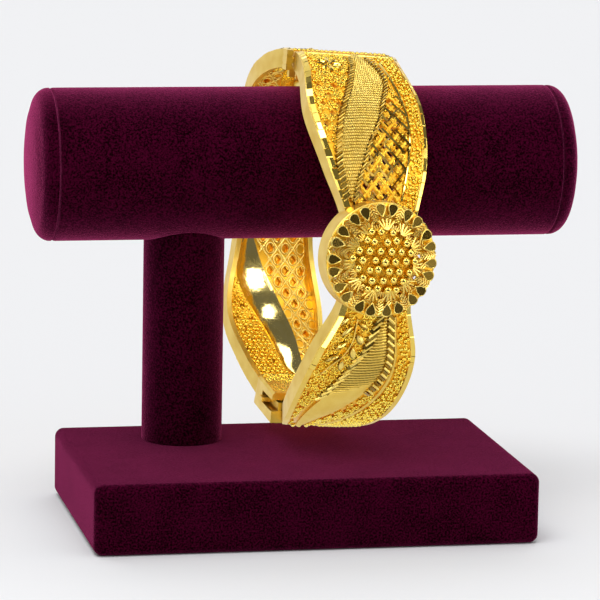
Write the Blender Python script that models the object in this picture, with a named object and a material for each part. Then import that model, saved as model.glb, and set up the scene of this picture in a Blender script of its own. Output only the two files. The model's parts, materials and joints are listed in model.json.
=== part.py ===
# Hinged filigree bangle hanging on a T-bar display stand.
# Metres, +Z up. The origin is under the middle of the stand's base, and +X runs along the bar.
import math
from collections import namedtuple

import bmesh
import bpy
from mathutils import Matrix, Vector

# Stand
BASE_WIDTH = 0.0780
BASE_DEPTH = 0.0500
BASE_HEIGHT = 0.0123
BASE_EDGE_RADIUS = 0.0016
POST_DIAMETER = 0.0144
POST_X = -0.0177
BAR_DIAMETER = 0.0270
BAR_LENGTH = 0.0899
BAR_X = 0.0033
BAR_FROM_BACK_EDGE = 0.0126
BAR_CAP_BULGE = 0.0042
BAR_CAP_EDGE = 0.0030
POST_SOCKET_DEPTH = 0.0040
BANGLE_FOOT_GAP = 0.001566

# Oval of the bangle. The hinge and the clasp lie in one plane, and each half reaches out from it.
OVAL_HEIGHT = 0.0666
FRONT_REACH = 0.0279
BACK_REACH = 0.0338
BAND_HALF_WIDTH = 0.0105
BAND_DEPTH = 0.0031
WALL = 0.0009
PLATE = 0.0009
RIM_WIDTH = 0.0009
RIM_RISE = 0.00035
LEAF_RISE = 0.00045
LEAF_CROWN = 0.00020
LINE_WIDTH = 0.00055
LINE_RISE = 0.00030

# How the bangle hangs on the bar
RING_X = 0.0082
RING_TURN = 6.0
RING_LEAN = 4.2

# Fits
SEAT_GAP = 0.0003
HALF_GAP = 0.0005
FACE_STEP = 0.00005

# Hinge
BARREL_RADIUS = 0.0015
PIN_RADIUS = 0.0006
PIN_HEAD_RADIUS = 0.0011
PIN_HEAD_LENGTH = 0.0007
PIN_BLOCK_LENGTH = 0.0012
PIN_BLOCK_HEIGHT = 0.0036
PIN_BLOCK_DEPTH = 0.0026
PIN_GROOVE = 0.0004
KNUCKLES = 5
WEB_HALF_HEIGHT = 0.0008
HINGE_WALL_DEPTH = 0.0047

# Clasp
BOX_LENGTH = 0.0125
BOX_HALF_WIDTH = 0.0074
BOX_DEPTH = 0.0049
BOX_RISE = 0.0006
BOX_WALL = 0.0008
BOX_CORNER = 0.0022
TONGUE_HALF_WIDTH = 0.0032
TONGUE_THICKNESS = 0.0009
TONGUE_DEPTH = 0.0021
TONGUE_LENGTH = 0.0065
TONGUE_PLAY = 0.0006
FOOT_HALF_WIDTH = 0.0042
FOOT_LENGTH = 0.0012
TAB_LENGTH = 0.0016
TAB_STAND_OUT = 0.0007

# Flower
FLOWER_ANGLE = 88.0
FLOWER_ACROSS = -0.0004
FLOWER_RADIUS = 0.0099
FLOWER_DOME_RADIUS = 0.0055
FLOWER_SKIRT = 0.0014
FLOWER_WALL_TOP = 0.0031
FLOWER_DOME_TOP = 0.0056
FLOWER_SHELL = 0.0009
FLOWER_PETALS = 22
PETAL_CUT = 0.00045
BALL_RADIUS = 0.00062
BALL_SPACING = 0.00054
PETAL_GAP = 0.0007
STUD_RADIUS = 0.0010

# Pierced work
LATTICE_ALONG = 0.0029
LATTICE_ACROSS = 0.0024
LATTICE_HOLE = 0.00066
FIELD_ALONG = 0.0044
FIELD_ACROSS = 0.0029
FIELD_HOLE = 0.00055
NET_ALONG = 0.0040
NET_ACROSS = 0.0030
HOLE_MARGIN = 0.0004
VINE_LEAF_LENGTH = 0.0026
FLORET_RADIUS = 0.0021
FLORET_POINTS = 8

# Mesh fineness
STATION_STEP = 5.0
ROUND_SIDES = 16
BAR_SIDES = 40
BALL_SIDES = 10
BALL_RINGS = 5
SAME_PLACE = 0.000001

# An angle runs from the hinge at 0 over the front at 90 to the clasp at 180 and up the back to 360.
# Places across the band are shares of BAND_HALF_WIDTH, less than 0 on the left, and a sprig's length
# is a share of VINE_LEAF_LENGTH.
Span = namedtuple("Span", "angle left right")
Stop = namedtuple("Stop", "angle across")
Sprig = namedtuple("Sprig", "angle across turn length")
Zone = namedtuple("Zone", "start end")

FRONT_EDGES = (
    Span(0, -0.89, 0.88), Span(18, -0.98, 0.80), Span(40, -1.10, 0.90), Span(60, -0.88, 0.84),
    Span(77, -0.57, 0.64), Span(88, -0.52, 0.63), Span(103, -0.51, 0.68), Span(120, -0.80, 0.95),
    Span(140, -0.90, 0.96), Span(160, -0.78, 0.82), Span(180, -0.50, 0.54),
)
BACK_EDGES = (
    Span(180, -0.58, 0.58), Span(200, -0.60, 0.62), Span(215, -0.73, 0.70), Span(235, -0.91, 0.86),
    Span(262, -0.68, 0.73), Span(290, -0.78, 0.79), Span(325, -1.04, 0.93), Span(345, -1.00, 0.92),
    Span(360, -0.89, 0.88),
)
UPPER_LEAF = (
    Span(6, 0.02, 0.16), Span(16, -0.04, 0.25), Span(23, -0.14, 0.32), Span(30, -0.25, 0.30),
    Span(38, -0.41, 0.17), Span(45, -0.54, 0.05), Span(53, -0.62, -0.16), Span(60, -0.64, -0.29),
    Span(67, -0.58, -0.42), Span(72, -0.51, -0.47),
)
LOWER_LEAF = (
    Span(105, 0.27, 0.30), Span(111, 0.18, 0.35), Span(117, 0.12, 0.41), Span(123, -0.03, 0.45),
    Span(130, -0.18, 0.40), Span(138, -0.37, 0.23), Span(147, -0.52, -0.01), Span(157, -0.54, -0.28),
    Span(170, -0.42, -0.36),
)
BACK_LEAF = (
    Span(208, 0.22, 0.28), Span(213, 0.06, 0.36), Span(220, -0.02, 0.38), Span(229, -0.17, 0.33),
    Span(238, -0.40, 0.17), Span(245, -0.57, 0.02), Span(251, -0.62, -0.13), Span(258, -0.55, -0.26),
    Span(265, -0.46, -0.38),
)
BACK_UPPER_LEAF = (
    Span(272, 0.42, 0.50), Span(280, 0.27, 0.56), Span(290, 0.12, 0.54), Span(302, -0.10, 0.50),
    Span(315, -0.34, 0.40), Span(328, -0.50, 0.17), Span(340, -0.55, -0.14), Span(352, -0.48, -0.36),
)
UPPER_LINE = (
    Stop(14, 0.44), Stop(22, 0.47), Stop(29, 0.52), Stop(36, 0.57), Stop(44, 0.60), Stop(51, 0.58),
    Stop(58, 0.53), Stop(64, 0.46), Stop(71, 0.38),
)
LOWER_LINE = (
    Stop(106, 0.44), Stop(113, 0.51), Stop(120, 0.60), Stop(128, 0.62), Stop(136, 0.56),
    Stop(144, 0.43), Stop(152, 0.26), Stop(160, 0.08), Stop(168, -0.08),
)
VINE_LINE = (
    Stop(106, -0.12), Stop(112, -0.20), Stop(119, -0.32), Stop(126, -0.48), Stop(132, -0.60),
)
VINE_LEAVES = (
    Sprig(108, -0.30, 140, 1.0), Sprig(112, -0.03, 35, 1.0), Sprig(116, -0.40, 150, 1.08),
    Sprig(119, -0.14, 50, 0.92), Sprig(124, -0.60, 160, 0.92), Sprig(127, -0.34, 60, 0.85),
)
BACK_LINES = (
    (Stop(216, -0.38), Stop(224, -0.52), Stop(232, -0.62), Stop(240, -0.70)),
    (Stop(278, -0.40), Stop(290, -0.46), Stop(302, -0.56), Stop(314, -0.72)),
)
HINGE_FLORET = Stop(17, -0.50)

# Stretches of pierced work
UPPER_LATTICE = Zone(34, 74)
UPPER_FIELD = Zone(30, 60)
LOWER_LATTICE = Zone(136, 168)
LOWER_FIELD = Zone(134, 166)
BACK_NET = Zone(213, 268)
BACK_FIELD = Zone(213, 246)
BACK_UPPER_NET = Zone(282, 332)
BACK_UPPER_FIELD = Zone(310, 352)

# Degrees of the band per metre along it are the same everywhere on the unrolled band.
ARC_SCALE = (FRONT_REACH + OVAL_HEIGHT / 2) / 2


def oval(theta):
    """Point on the outer surface's middle line and its outward direction, in the ring's own frame."""
    reach = FRONT_REACH if math.sin(theta) >= 0 else BACK_REACH
    half_height = OVAL_HEIGHT / 2
    point = Vector((0, -reach * math.sin(theta), half_height * math.cos(theta)))
    outward = Vector((0, -math.sin(theta) / reach, math.cos(theta) / half_height)).normalized()
    return point, outward


def flat(angle, across, height=0.0):
    """Place on the unrolled band: across it, along it and above its outer surface."""
    return Vector((across, math.radians(angle) * ARC_SCALE, height))


def bent(place):
    """The same place on the oval."""
    point, outward = oval(place.y / ARC_SCALE)
    return point + outward * place.z + Vector((place.x, 0, 0))


def smooth(rows, angle, column):
    """Value of a table's column at an angle, on a smooth curve through its rows."""
    keys = [row.angle for row in rows]
    values = [getattr(row, column) for row in rows]
    if angle <= keys[0]:
        return values[0]
    if angle >= keys[-1]:
        return values[-1]
    spot = max(i for i in range(len(keys) - 1) if keys[i] <= angle)

    def slope(i):
        low = max(i - 1, 0)
        high = min(i + 1, len(keys) - 1)
        return (values[high] - values[low]) / (keys[high] - keys[low])

    width = keys[spot + 1] - keys[spot]
    s = (angle - keys[spot]) / width
    start = values[spot] * (2 * s**3 - 3 * s**2 + 1) + slope(spot) * width * (s**3 - 2 * s**2 + s)
    end = values[spot + 1] * (3 * s**2 - 2 * s**3) + slope(spot + 1) * width * (s**3 - s**2)
    return start + end


def across(rows, angle, column):
    return smooth(rows, angle, column) * BAND_HALF_WIDTH


def stations(start, end, step=STATION_STEP):
    """Angles from start to end, on whole steps between them."""
    first = math.floor(start / step) + 1
    last = math.ceil(end / step) - 1
    inner = [i * step for i in range(first, last + 1)]
    inner = [a for a in inner if a - start > step * 0.2 and end - a > step * 0.2]
    return [start] + inner + [end]


def new_object(name, mesh_data):
    mesh = bpy.data.meshes.new(name)
    bmesh.ops.recalc_face_normals(mesh_data, faces=mesh_data.faces)
    mesh_data.to_mesh(mesh)
    mesh_data.free()
    thing = bpy.data.objects.new(name, mesh)
    bpy.context.scene.collection.objects.link(thing)
    return thing


def loft(name, sections, twisted=False):
    """Closed solid through sections that have the same number of points. A twisted one has bent sides."""
    data = bmesh.new()
    rings = [[data.verts.new(point) for point in section] for section in sections]
    count = len(rings[0])
    for lower, upper in zip(rings, rings[1:]):
        for i in range(count):
            j = (i + 1) % count
            data.faces.new((lower[i], lower[j], upper[j], upper[i]))
    data.faces.new(rings[0])
    data.faces.new(rings[-1])
    if twisted:
        bmesh.ops.triangulate(data, faces=data.faces)
    return new_object(name, data)


def turned(name, profile, sides, shape=None):
    """Solid of revolution about Z. The profile runs from the axis round to the axis, as radius, height."""
    data = bmesh.new()
    rings = []
    for row, (radius, height) in enumerate(profile):
        if radius == 0:
            rings.append([data.verts.new((0, 0, height))])
            continue
        ring = []
        for i in range(sides):
            turn = 2 * math.pi * i / sides
            r, z = shape(row, i, radius, height) if shape else (radius, height)
            ring.append(data.verts.new((r * math.cos(turn), r * math.sin(turn), z)))
        rings.append(ring)
    for lower, upper in zip(rings, rings[1:]):
        for i in range(sides):
            j = (i + 1) % sides
            corners = [lower[i % len(lower)], lower[j % len(lower)], upper[j % len(upper)], upper[i % len(upper)]]
            data.faces.new(list(dict.fromkeys(corners)))
    bmesh.ops.triangulate(data, faces=data.faces)
    return new_object(name, data)


def rod(name, radius, start, end, sides=ROUND_SIDES):
    """Round rod along X, with faces and not edges at its top, between two places."""
    piece = turned(name, ((0, start), (radius, start), (radius, end), (0, end)), sides)
    piece.data.transform(Matrix.Rotation(math.pi / 2, 4, "Y") @ Matrix.Rotation(math.pi / sides, 4, "Z"))
    return piece


def block(name, low, high):
    corners = ((low[0], low[1]), (high[0], low[1]), (high[0], high[1]), (low[0], high[1]))
    return loft(name, [[Vector((x, y, z)) for x, y in corners] for z in (low[2], high[2])])


def joined(name, pieces):
    """One object from pieces that don't touch each other."""
    data = bmesh.new()
    for piece in pieces:
        data.from_mesh(piece.data)
        bpy.data.objects.remove(piece)
    return new_object(name, data)


def combine(target, tool, operation, merge=True):
    """Boolean of two solids, kept as the target's mesh. Corners that meet are merged here or in bend."""
    cut = target.modifiers.new("Boolean", "BOOLEAN")
    cut.operation = operation
    cut.solver = "EXACT"
    cut.object = tool
    result = bpy.data.meshes.new_from_object(target.evaluated_get(bpy.context.evaluated_depsgraph_get()))
    if merge:
        data = bmesh.new()
        data.from_mesh(result)
        bmesh.ops.remove_doubles(data, verts=data.verts, dist=SAME_PLACE)
        data.to_mesh(result)
        data.free()
    target.modifiers.remove(cut)
    target.data = result
    bpy.data.objects.remove(tool)


def bend(thing):
    """Triangulate a flat piece and lay it on the oval, which mirrors it, so its faces are turned round."""
    data = bmesh.new()
    data.from_mesh(thing.data)
    bmesh.ops.triangulate(data, faces=data.faces)
    bmesh.ops.remove_doubles(data, verts=data.verts, dist=SAME_PLACE)
    for vertex in data.verts:
        vertex.co = bent(vertex.co)
    bmesh.ops.reverse_faces(data, faces=data.faces)
    bmesh.ops.dissolve_degenerate(data, edges=data.edges, dist=SAME_PLACE)
    bmesh.ops.triangulate(data, faces=data.faces)
    data.to_mesh(thing.data)
    data.free()


def channel(name, edges, start, end):
    """Plate with a rim and a deep side wall along each edge, open towards the wrist."""
    sections = []
    for angle in stations(start, end):
        left = across(edges, angle, "left")
        right = across(edges, angle, "right")
        outline = (
            (left, -BAND_DEPTH), (left, RIM_RISE), (left + RIM_WIDTH, RIM_RISE), (left + RIM_WIDTH, 0),
            (right - RIM_WIDTH, 0), (right - RIM_WIDTH, RIM_RISE), (right, RIM_RISE), (right, -BAND_DEPTH),
            (right - WALL, -BAND_DEPTH), (right - WALL, -PLATE), (left + WALL, -PLATE),
            (left + WALL, -BAND_DEPTH),
        )
        sections.append([flat(angle, u, h) for u, h in outline])
    return loft(name, sections)


def raised_leaf(name, rows):
    """Smooth leaf with a crowned middle, rooted in the plate."""
    sections = []
    for angle in stations(rows[0].angle, rows[-1].angle):
        left = across(rows, angle, "left")
        right = across(rows, angle, "right")
        outline = (
            (left, -PLATE / 2), (left, LEAF_RISE), ((left + right) / 2, LEAF_RISE + LEAF_CROWN),
            (right, LEAF_RISE), (right, -PLATE / 2),
        )
        sections.append([flat(angle, u, h) for u, h in outline])
    return loft(name, sections, twisted=True)


def raised_line(name, rows, width=LINE_WIDTH):
    sections = []
    for angle in stations(rows[0].angle, rows[-1].angle):
        middle = across(rows, angle, "across")
        outline = (
            (middle - width / 2, -PLATE / 2), (middle - width / 2, LINE_RISE),
            (middle + width / 2, LINE_RISE), (middle + width / 2, -PLATE / 2),
        )
        sections.append([flat(angle, u, h) for u, h in outline])
    return loft(name, sections)


def prism(name, outline, low, high):
    """Upright solid over a flat outline."""
    return loft(name, [[Vector((p.x, p.y, h)) for p in outline] for h in (low, high)])


def star(name, place, radius, points, waist=0.5):
    outline = []
    for i in range(points * 2):
        reach = radius if i % 2 == 0 else radius * waist
        turn = math.pi * i / points
        outline.append(place + Vector((reach * math.cos(turn), reach * math.sin(turn), 0)))
    return prism(name, outline, -PLATE / 2, LINE_RISE)


def small_leaf(name, sprig):
    centre = flat(sprig.angle, sprig.across * BAND_HALF_WIDTH)
    turn = math.radians(sprig.turn)
    outline = []
    for along, aside in ((-0.5, 0), (-0.1, 0.22), (0.5, 0), (-0.1, -0.22)):
        offset = Vector((along, aside, 0)) * sprig.length * VINE_LEAF_LENGTH
        offset.rotate(Matrix.Rotation(turn, 3, "Z"))
        outline.append(centre + offset)
    return prism(name, outline, -PLATE * 0.6, LINE_RISE)


def diamond_holes(zone, left_edge, right_edge, along, aside, size, margin):
    """Staggered diamonds between two lines across the band, as one cutter's pieces."""
    holes = []
    row = 0
    place = math.radians(zone.start) * ARC_SCALE
    while place < math.radians(zone.end) * ARC_SCALE:
        angle = math.degrees(place / ARC_SCALE)
        low = left_edge(angle) + margin
        high = right_edge(angle) - margin
        first = math.ceil(low / aside - (row % 2) / 2)
        last = math.floor(high / aside - (row % 2) / 2)
        for i in range(first, last + 1):
            middle = flat(angle, (i + (row % 2) / 2) * aside)
            outline = [middle + Vector(offset) for offset in (
                (-size, 0, 0), (0, size * 1.25, 0), (size, 0, 0), (0, -size * 1.25, 0))]
            holes.append(prism("hole", outline, -PLATE * 2, PLATE))
        place += along / 2
        row += 1
    return holes


def edge_line(rows, column, inset=0.0):
    return lambda angle: across(rows, angle, column) + inset


def hinge_start(reach):
    """Angle at which a half's body ends, clear of the hinge barrel."""
    return math.degrees(math.asin((BARREL_RADIUS + SEAT_GAP) / reach))


def end_wall(name, edges, start, end, depth):
    """Wall across the inside of a half at one end, set into its side walls and plate."""
    sections = []
    for angle in (start, end):
        left = across(edges, angle, "left") + WALL / 2
        right = across(edges, angle, "right") - WALL / 2
        outline = ((left, -depth), (left, -PLATE / 2), (right, -PLATE / 2), (right, -depth))
        sections.append([flat(angle, u, h) for u, h in outline])
    return loft(name, sections)


def along_degrees(length, reach=OVAL_HEIGHT / 2):
    return math.degrees(length / reach)


def hinge_axis_height():
    return OVAL_HEIGHT / 2 - BARREL_RADIUS


def add_knuckles(band, side):
    """Knuckles of one half. Side is -1 for the front half and +1 for the back half."""
    left = FRONT_EDGES[0].left * BAND_HALF_WIDTH
    right = FRONT_EDGES[0].right * BAND_HALF_WIDTH
    length = (right - left) / KNUCKLES
    owned = range(0, KNUCKLES, 2) if side < 0 else range(1, KNUCKLES, 2)
    axis = hinge_axis_height()
    web_end = side * (BARREL_RADIUS + SEAT_GAP + WALL * 0.4)
    for i in owned:
        start = left + i * length + SEAT_GAP / 2
        end = left + (i + 1) * length - SEAT_GAP / 2
        barrel = rod("barrel", BARREL_RADIUS, start, end)
        barrel.data.transform(Matrix.Translation((0, 0, axis)))
        inset = SEAT_GAP / 2
        web = block(
            "web",
            (start + inset, min(0, web_end), axis - WEB_HALF_HEIGHT),
            (end - inset, max(0, web_end), axis + WEB_HALF_HEIGHT),
        )
        combine(barrel, web, "UNION")
        combine(band, barrel, "UNION")
    bore = rod("bore", PIN_RADIUS + SEAT_GAP, left - WALL, right + WALL)
    bore.data.transform(Matrix.Translation((0, 0, axis)))
    combine(band, bore, "DIFFERENCE")


def front_band():
    start = hinge_start(FRONT_REACH)
    end = 180 - along_degrees(HALF_GAP / 2)
    band = channel("front_band", FRONT_EDGES, start, end)
    wall = along_degrees(WALL)
    inset = along_degrees(SEAT_GAP / 2)
    pieces = [
        raised_leaf("upper_leaf", UPPER_LEAF),
        raised_leaf("lower_leaf", LOWER_LEAF),
        raised_line("upper_line", UPPER_LINE),
        raised_line("lower_line", LOWER_LINE),
        raised_line("vine", VINE_LINE, LINE_WIDTH * 0.8),
        star("floret", flat(HINGE_FLORET.angle, HINGE_FLORET.across * BAND_HALF_WIDTH), FLORET_RADIUS,
             FLORET_POINTS),
        end_wall("hinge_wall", FRONT_EDGES, start + inset, start + inset + wall, HINGE_WALL_DEPTH),
        end_wall("clasp_wall", FRONT_EDGES, end - inset - wall, end - inset, TONGUE_DEPTH + TONGUE_THICKNESS
                 + SEAT_GAP + WALL),
    ]
    pieces += [small_leaf("vine_leaf", sprig) for sprig in VINE_LEAVES]
    for piece in pieces:
        combine(band, piece, "UNION")
    slot_low = TONGUE_DEPTH - SEAT_GAP
    slot_high = TONGUE_DEPTH + TONGUE_THICKNESS + SEAT_GAP
    slot_width = TONGUE_HALF_WIDTH + SEAT_GAP
    slot = block("slot", (-slot_width, flat(180 - 2 * wall, 0).y, -slot_high),
                 (slot_width, flat(180 + wall, 0).y, -slot_low))
    combine(band, slot, "DIFFERENCE")

    margin = LATTICE_HOLE + HOLE_MARGIN
    rim = RIM_WIDTH
    holes = diamond_holes(
        UPPER_LATTICE, edge_line(UPPER_LEAF, "right"), edge_line(UPPER_LINE, "across", -LINE_WIDTH / 2),
        LATTICE_ALONG, LATTICE_ACROSS, LATTICE_HOLE, margin)
    holes += diamond_holes(
        UPPER_FIELD, edge_line(FRONT_EDGES, "left", rim), edge_line(UPPER_LEAF, "left"),
        FIELD_ALONG, FIELD_ACROSS, FIELD_HOLE, margin)
    holes += diamond_holes(
        LOWER_LATTICE, edge_line(LOWER_LEAF, "right"), edge_line(LOWER_LINE, "across", -LINE_WIDTH / 2),
        FIELD_ALONG, FIELD_ACROSS, FIELD_HOLE, margin)
    holes += diamond_holes(
        LOWER_FIELD, edge_line(FRONT_EDGES, "left", rim), edge_line(LOWER_LEAF, "left"),
        FIELD_ALONG, FIELD_ACROSS, FIELD_HOLE, margin)
    stud = flat(FLOWER_ANGLE, FLOWER_ACROSS)
    stud_hole = turned("stud_hole", (
        (0, -PLATE * 2), (STUD_RADIUS + SEAT_GAP, -PLATE * 2), (STUD_RADIUS + SEAT_GAP, PLATE), (0, PLATE)),
        ROUND_SIDES)
    stud_hole.data.transform(Matrix.Translation(stud))
    holes.append(stud_hole)
    combine(band, joined("holes", holes), "DIFFERENCE", merge=False)
    bend(band)
    add_knuckles(band, -1)
    return band


def clasp_box_sections(shrink, start, end):
    """Sections of the box from the clasp's plane to its round far end, shrunk by a wall."""
    sections = []
    length = end - start
    corner = BOX_CORNER
    places = [0.0, (length - corner) / 2] + [
        length - corner * (1 - math.sin(math.radians(turn))) for turn in (0, 25, 45, 65, 80)]
    for place in places:
        beyond = max(0.0, place - (length - corner))
        round_off = corner - math.sqrt(max(0.0, corner**2 - beyond**2))
        half = BOX_HALF_WIDTH - shrink - round_off
        depth = BOX_DEPTH - shrink - round_off * 0.6
        top = BOX_RISE if shrink == 0 else -PLATE
        angle = 180 + along_degrees(start + place)
        chamfer = WALL / 2
        outline = (
            (-half, -depth + chamfer), (-half, top), (half, top), (half, -depth + chamfer),
            (half - chamfer, -depth), (-half + chamfer, -depth),
        )
        sections.append([flat(angle, u, h) for u, h in outline])
    return sections


def back_band():
    end = 360 - hinge_start(BACK_REACH)
    start = 180 + along_degrees(HALF_GAP / 2)
    band = channel("back_band", BACK_EDGES, start + along_degrees(SEAT_GAP), end)
    inset = along_degrees(SEAT_GAP / 2)
    wall = along_degrees(WALL)
    pieces = [
        raised_leaf("back_leaf", BACK_LEAF),
        raised_leaf("back_upper_leaf", BACK_UPPER_LEAF),
        end_wall("hinge_wall", BACK_EDGES, end - inset - wall, end - inset, HINGE_WALL_DEPTH),
    ]
    pieces += [raised_line("back_line", rows) for rows in BACK_LINES]
    for piece in pieces:
        combine(band, piece, "UNION")
    combine(band, loft("box", clasp_box_sections(0, HALF_GAP / 2, BOX_LENGTH), twisted=True), "UNION")
    room = clasp_box_sections(BOX_WALL, BOX_WALL + HALF_GAP / 2, BOX_LENGTH - BOX_WALL)
    combine(band, loft("box_room", room, twisted=True), "DIFFERENCE")
    slot_low = TONGUE_DEPTH - TONGUE_PLAY
    slot_high = TONGUE_DEPTH + TONGUE_THICKNESS + TONGUE_PLAY
    slot = block("slot", (-BOX_HALF_WIDTH * 1.5, flat(180 - wall, 0).y, -slot_high),
                 (TONGUE_HALF_WIDTH + SEAT_GAP * 2, flat(180 + along_degrees(BOX_WALL * 2), 0).y, -slot_low))
    notch = block("notch", (-BOX_HALF_WIDTH * 1.5, flat(180 - wall, 0).y, -slot_high),
                  (-BOX_HALF_WIDTH + BOX_WALL * 2, flat(180 + along_degrees(TONGUE_LENGTH + SEAT_GAP), 0).y,
                   -slot_low))
    combine(slot, notch, "UNION")
    combine(band, slot, "DIFFERENCE")

    margin = LATTICE_HOLE + HOLE_MARGIN
    rim = RIM_WIDTH
    holes = diamond_holes(
        BACK_NET, edge_line(BACK_LEAF, "right"), edge_line(BACK_EDGES, "right", -rim),
        NET_ALONG, NET_ACROSS, LATTICE_HOLE, margin)
    holes += diamond_holes(
        BACK_FIELD, edge_line(BACK_EDGES, "left", rim), edge_line(BACK_LEAF, "left"),
        FIELD_ALONG, FIELD_ACROSS, FIELD_HOLE, margin)
    holes += diamond_holes(
        BACK_UPPER_NET, edge_line(BACK_EDGES, "left", rim), edge_line(BACK_UPPER_LEAF, "left"),
        NET_ALONG, NET_ACROSS, LATTICE_HOLE, margin)
    holes += diamond_holes(
        BACK_UPPER_FIELD, edge_line(BACK_UPPER_LEAF, "right"), edge_line(BACK_EDGES, "right", -rim),
        FIELD_ALONG, FIELD_ACROSS, FIELD_HOLE, margin)
    combine(band, joined("holes", holes), "DIFFERENCE", merge=False)
    bend(band)
    add_knuckles(band, 1)
    return band


def flower_frame():
    """From the flower's own frame, with Z outward, to the ring's."""
    point, outward = oval(math.radians(FLOWER_ANGLE))
    side = Vector((1, 0, 0))
    upward = outward.cross(side)
    turn = Matrix((side, upward, outward)).transposed().to_4x4()
    return Matrix.Translation(point + side * FLOWER_ACROSS) @ turn


def flower_medallion():
    """Domed flower with paired petals, an inner ring of leaves and a heap of balls."""
    shell = FLOWER_SHELL
    dome = FLOWER_DOME_RADIUS

    def level(share):
        return FLOWER_WALL_TOP + (FLOWER_DOME_TOP - FLOWER_WALL_TOP) * share

    def outside_dome(share):
        return dome + (FLOWER_RADIUS - dome) * share

    profile = (
        (0, FLOWER_DOME_TOP), (dome * 0.55, level(0.84)), (dome, level(0.61)), (outside_dome(0.17), level(0.45)),
        (outside_dome(0.55), level(0.41)), (outside_dome(0.89), level(0.20)), (FLOWER_RADIUS, FLOWER_WALL_TOP),
        (FLOWER_RADIUS, -FLOWER_SKIRT), (FLOWER_RADIUS - shell, -FLOWER_SKIRT),
        (FLOWER_RADIUS - shell, FLOWER_WALL_TOP - shell * 0.8),
        (dome, level(0.45) - shell), (0, FLOWER_DOME_TOP - shell),
    )
    leaf_row, petal_row, petal_end_row, rim_row = 3, 4, 5, 6

    def petals(row, i, radius, height):
        between = i % 2 == 1
        if row in (petal_row, petal_end_row) and between:
            return radius, height - PETAL_CUT
        if row == rim_row and between:
            return radius - PETAL_CUT, height - PETAL_CUT * 0.5
        if row == leaf_row and not between:
            return radius, height + PETAL_CUT * 0.6
        return radius, height

    flower = turned("flower_medallion", profile, FLOWER_PETALS * 2, petals)
    balls = []
    pitch = BALL_RADIUS * 2 + BALL_SPACING
    row_pitch = pitch * math.sin(math.pi / 3)
    rows = math.ceil(dome / row_pitch)
    for row in range(-rows, rows + 1):
        for column in range(-rows - 1, rows + 2):
            x = (column + (row % 2) / 2) * pitch
            y = row * row_pitch
            far = math.hypot(x, y)
            if far > dome:
                continue
            fall = (FLOWER_DOME_TOP - level(0.45)) * (far / dome) ** 2
            data = bmesh.new()
            bmesh.ops.create_uvsphere(data, u_segments=BALL_SIDES, v_segments=BALL_RINGS, radius=BALL_RADIUS)
            ball = new_object("ball", data)
            ball.data.transform(Matrix.Translation((x, y, FLOWER_DOME_TOP - fall + BALL_RADIUS * 0.35)))
            balls.append(ball)
    combine(flower, joined("balls", balls), "UNION")

    gaps = []
    for i in range(0, FLOWER_PETALS, 2):
        turn = 2 * math.pi * (i + 0.5) / FLOWER_PETALS
        middle = Vector((math.cos(turn), math.sin(turn), 0)) * outside_dome(0.37)
        outline = []
        for aim, share in ((0.0, 1.0), (2.2, 0.86), (-2.2, 0.86)):
            outline.append(middle + Vector((math.cos(turn + aim), math.sin(turn + aim), 0)) * PETAL_GAP * share)
        gaps.append(prism("gap", outline, 0.0, FLOWER_DOME_TOP * 2))
    combine(flower, joined("gaps", gaps), "DIFFERENCE")

    stud_top = FLOWER_DOME_TOP - shell / 2
    stud = turned("stud", (
        (0, -PLATE - SEAT_GAP), (STUD_RADIUS, -PLATE - SEAT_GAP), (STUD_RADIUS, stud_top), (0, stud_top)),
        ROUND_SIDES)
    combine(flower, stud, "UNION")

    flower.data.transform(flower_frame())
    sections = []
    span = math.degrees(FLOWER_RADIUS / FRONT_REACH) * 1.5
    for angle in stations(FLOWER_ANGLE - span, FLOWER_ANGLE + span):
        left = across(FRONT_EDGES, angle, "left") - SEAT_GAP
        right = across(FRONT_EDGES, angle, "right") + SEAT_GAP
        top = max(RIM_RISE, LINE_RISE) + SEAT_GAP
        outline = ((left, -BAND_DEPTH * 1.5), (left, top), (right, top), (right, -BAND_DEPTH * 1.5))
        sections.append([flat(angle, u, h) for u, h in outline])
    saddle = loft("saddle", sections)
    bend(saddle)
    stud_keep = turned("stud_keep", (
        (0, -PLATE * 3), (STUD_RADIUS + SEAT_GAP, -PLATE * 3), (STUD_RADIUS + SEAT_GAP, PLATE * 3),
        (0, PLATE * 3)), ROUND_SIDES)
    stud_keep.data.transform(flower_frame())
    combine(saddle, stud_keep, "DIFFERENCE")
    combine(flower, saddle, "DIFFERENCE")
    return flower


def hinge_pin():
    """Pin along the hinge with a grooved block at its left end and a round head at its right."""
    left = FRONT_EDGES[0].left * BAND_HALF_WIDTH - SEAT_GAP
    right = FRONT_EDGES[0].right * BAND_HALF_WIDTH + SEAT_GAP
    head = PIN_HEAD_RADIUS
    crown = head * 0.7
    profile = (
        (0, left - PIN_BLOCK_LENGTH / 2), (PIN_RADIUS, left - PIN_BLOCK_LENGTH / 2), (PIN_RADIUS, right),
        (head, right), (head, right + PIN_HEAD_LENGTH / 2), (crown, right + PIN_HEAD_LENGTH),
        (0, right + PIN_HEAD_LENGTH),
    )
    pin = turned("hinge_pin", profile, ROUND_SIDES)
    pin.data.transform(Matrix.Rotation(math.pi / 2, 4, "Y"))
    half_depth = PIN_BLOCK_DEPTH / 2
    end = block("end", (left - PIN_BLOCK_LENGTH, -half_depth, -PIN_BLOCK_HEIGHT / 2),
                (left, half_depth, PIN_BLOCK_HEIGHT / 2))
    for side in (-1, 1):
        middle = side * PIN_BLOCK_HEIGHT / 5
        groove = block("groove", (left - PIN_BLOCK_LENGTH * 2, -half_depth * 2, middle - PIN_GROOVE / 2),
                       (left + WALL, PIN_GROOVE - half_depth, middle + PIN_GROOVE / 2))
        combine(end, groove, "DIFFERENCE")
    combine(pin, end, "UNION")
    pin.data.transform(Matrix.Translation((0, 0, hinge_axis_height())))
    return pin


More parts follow.
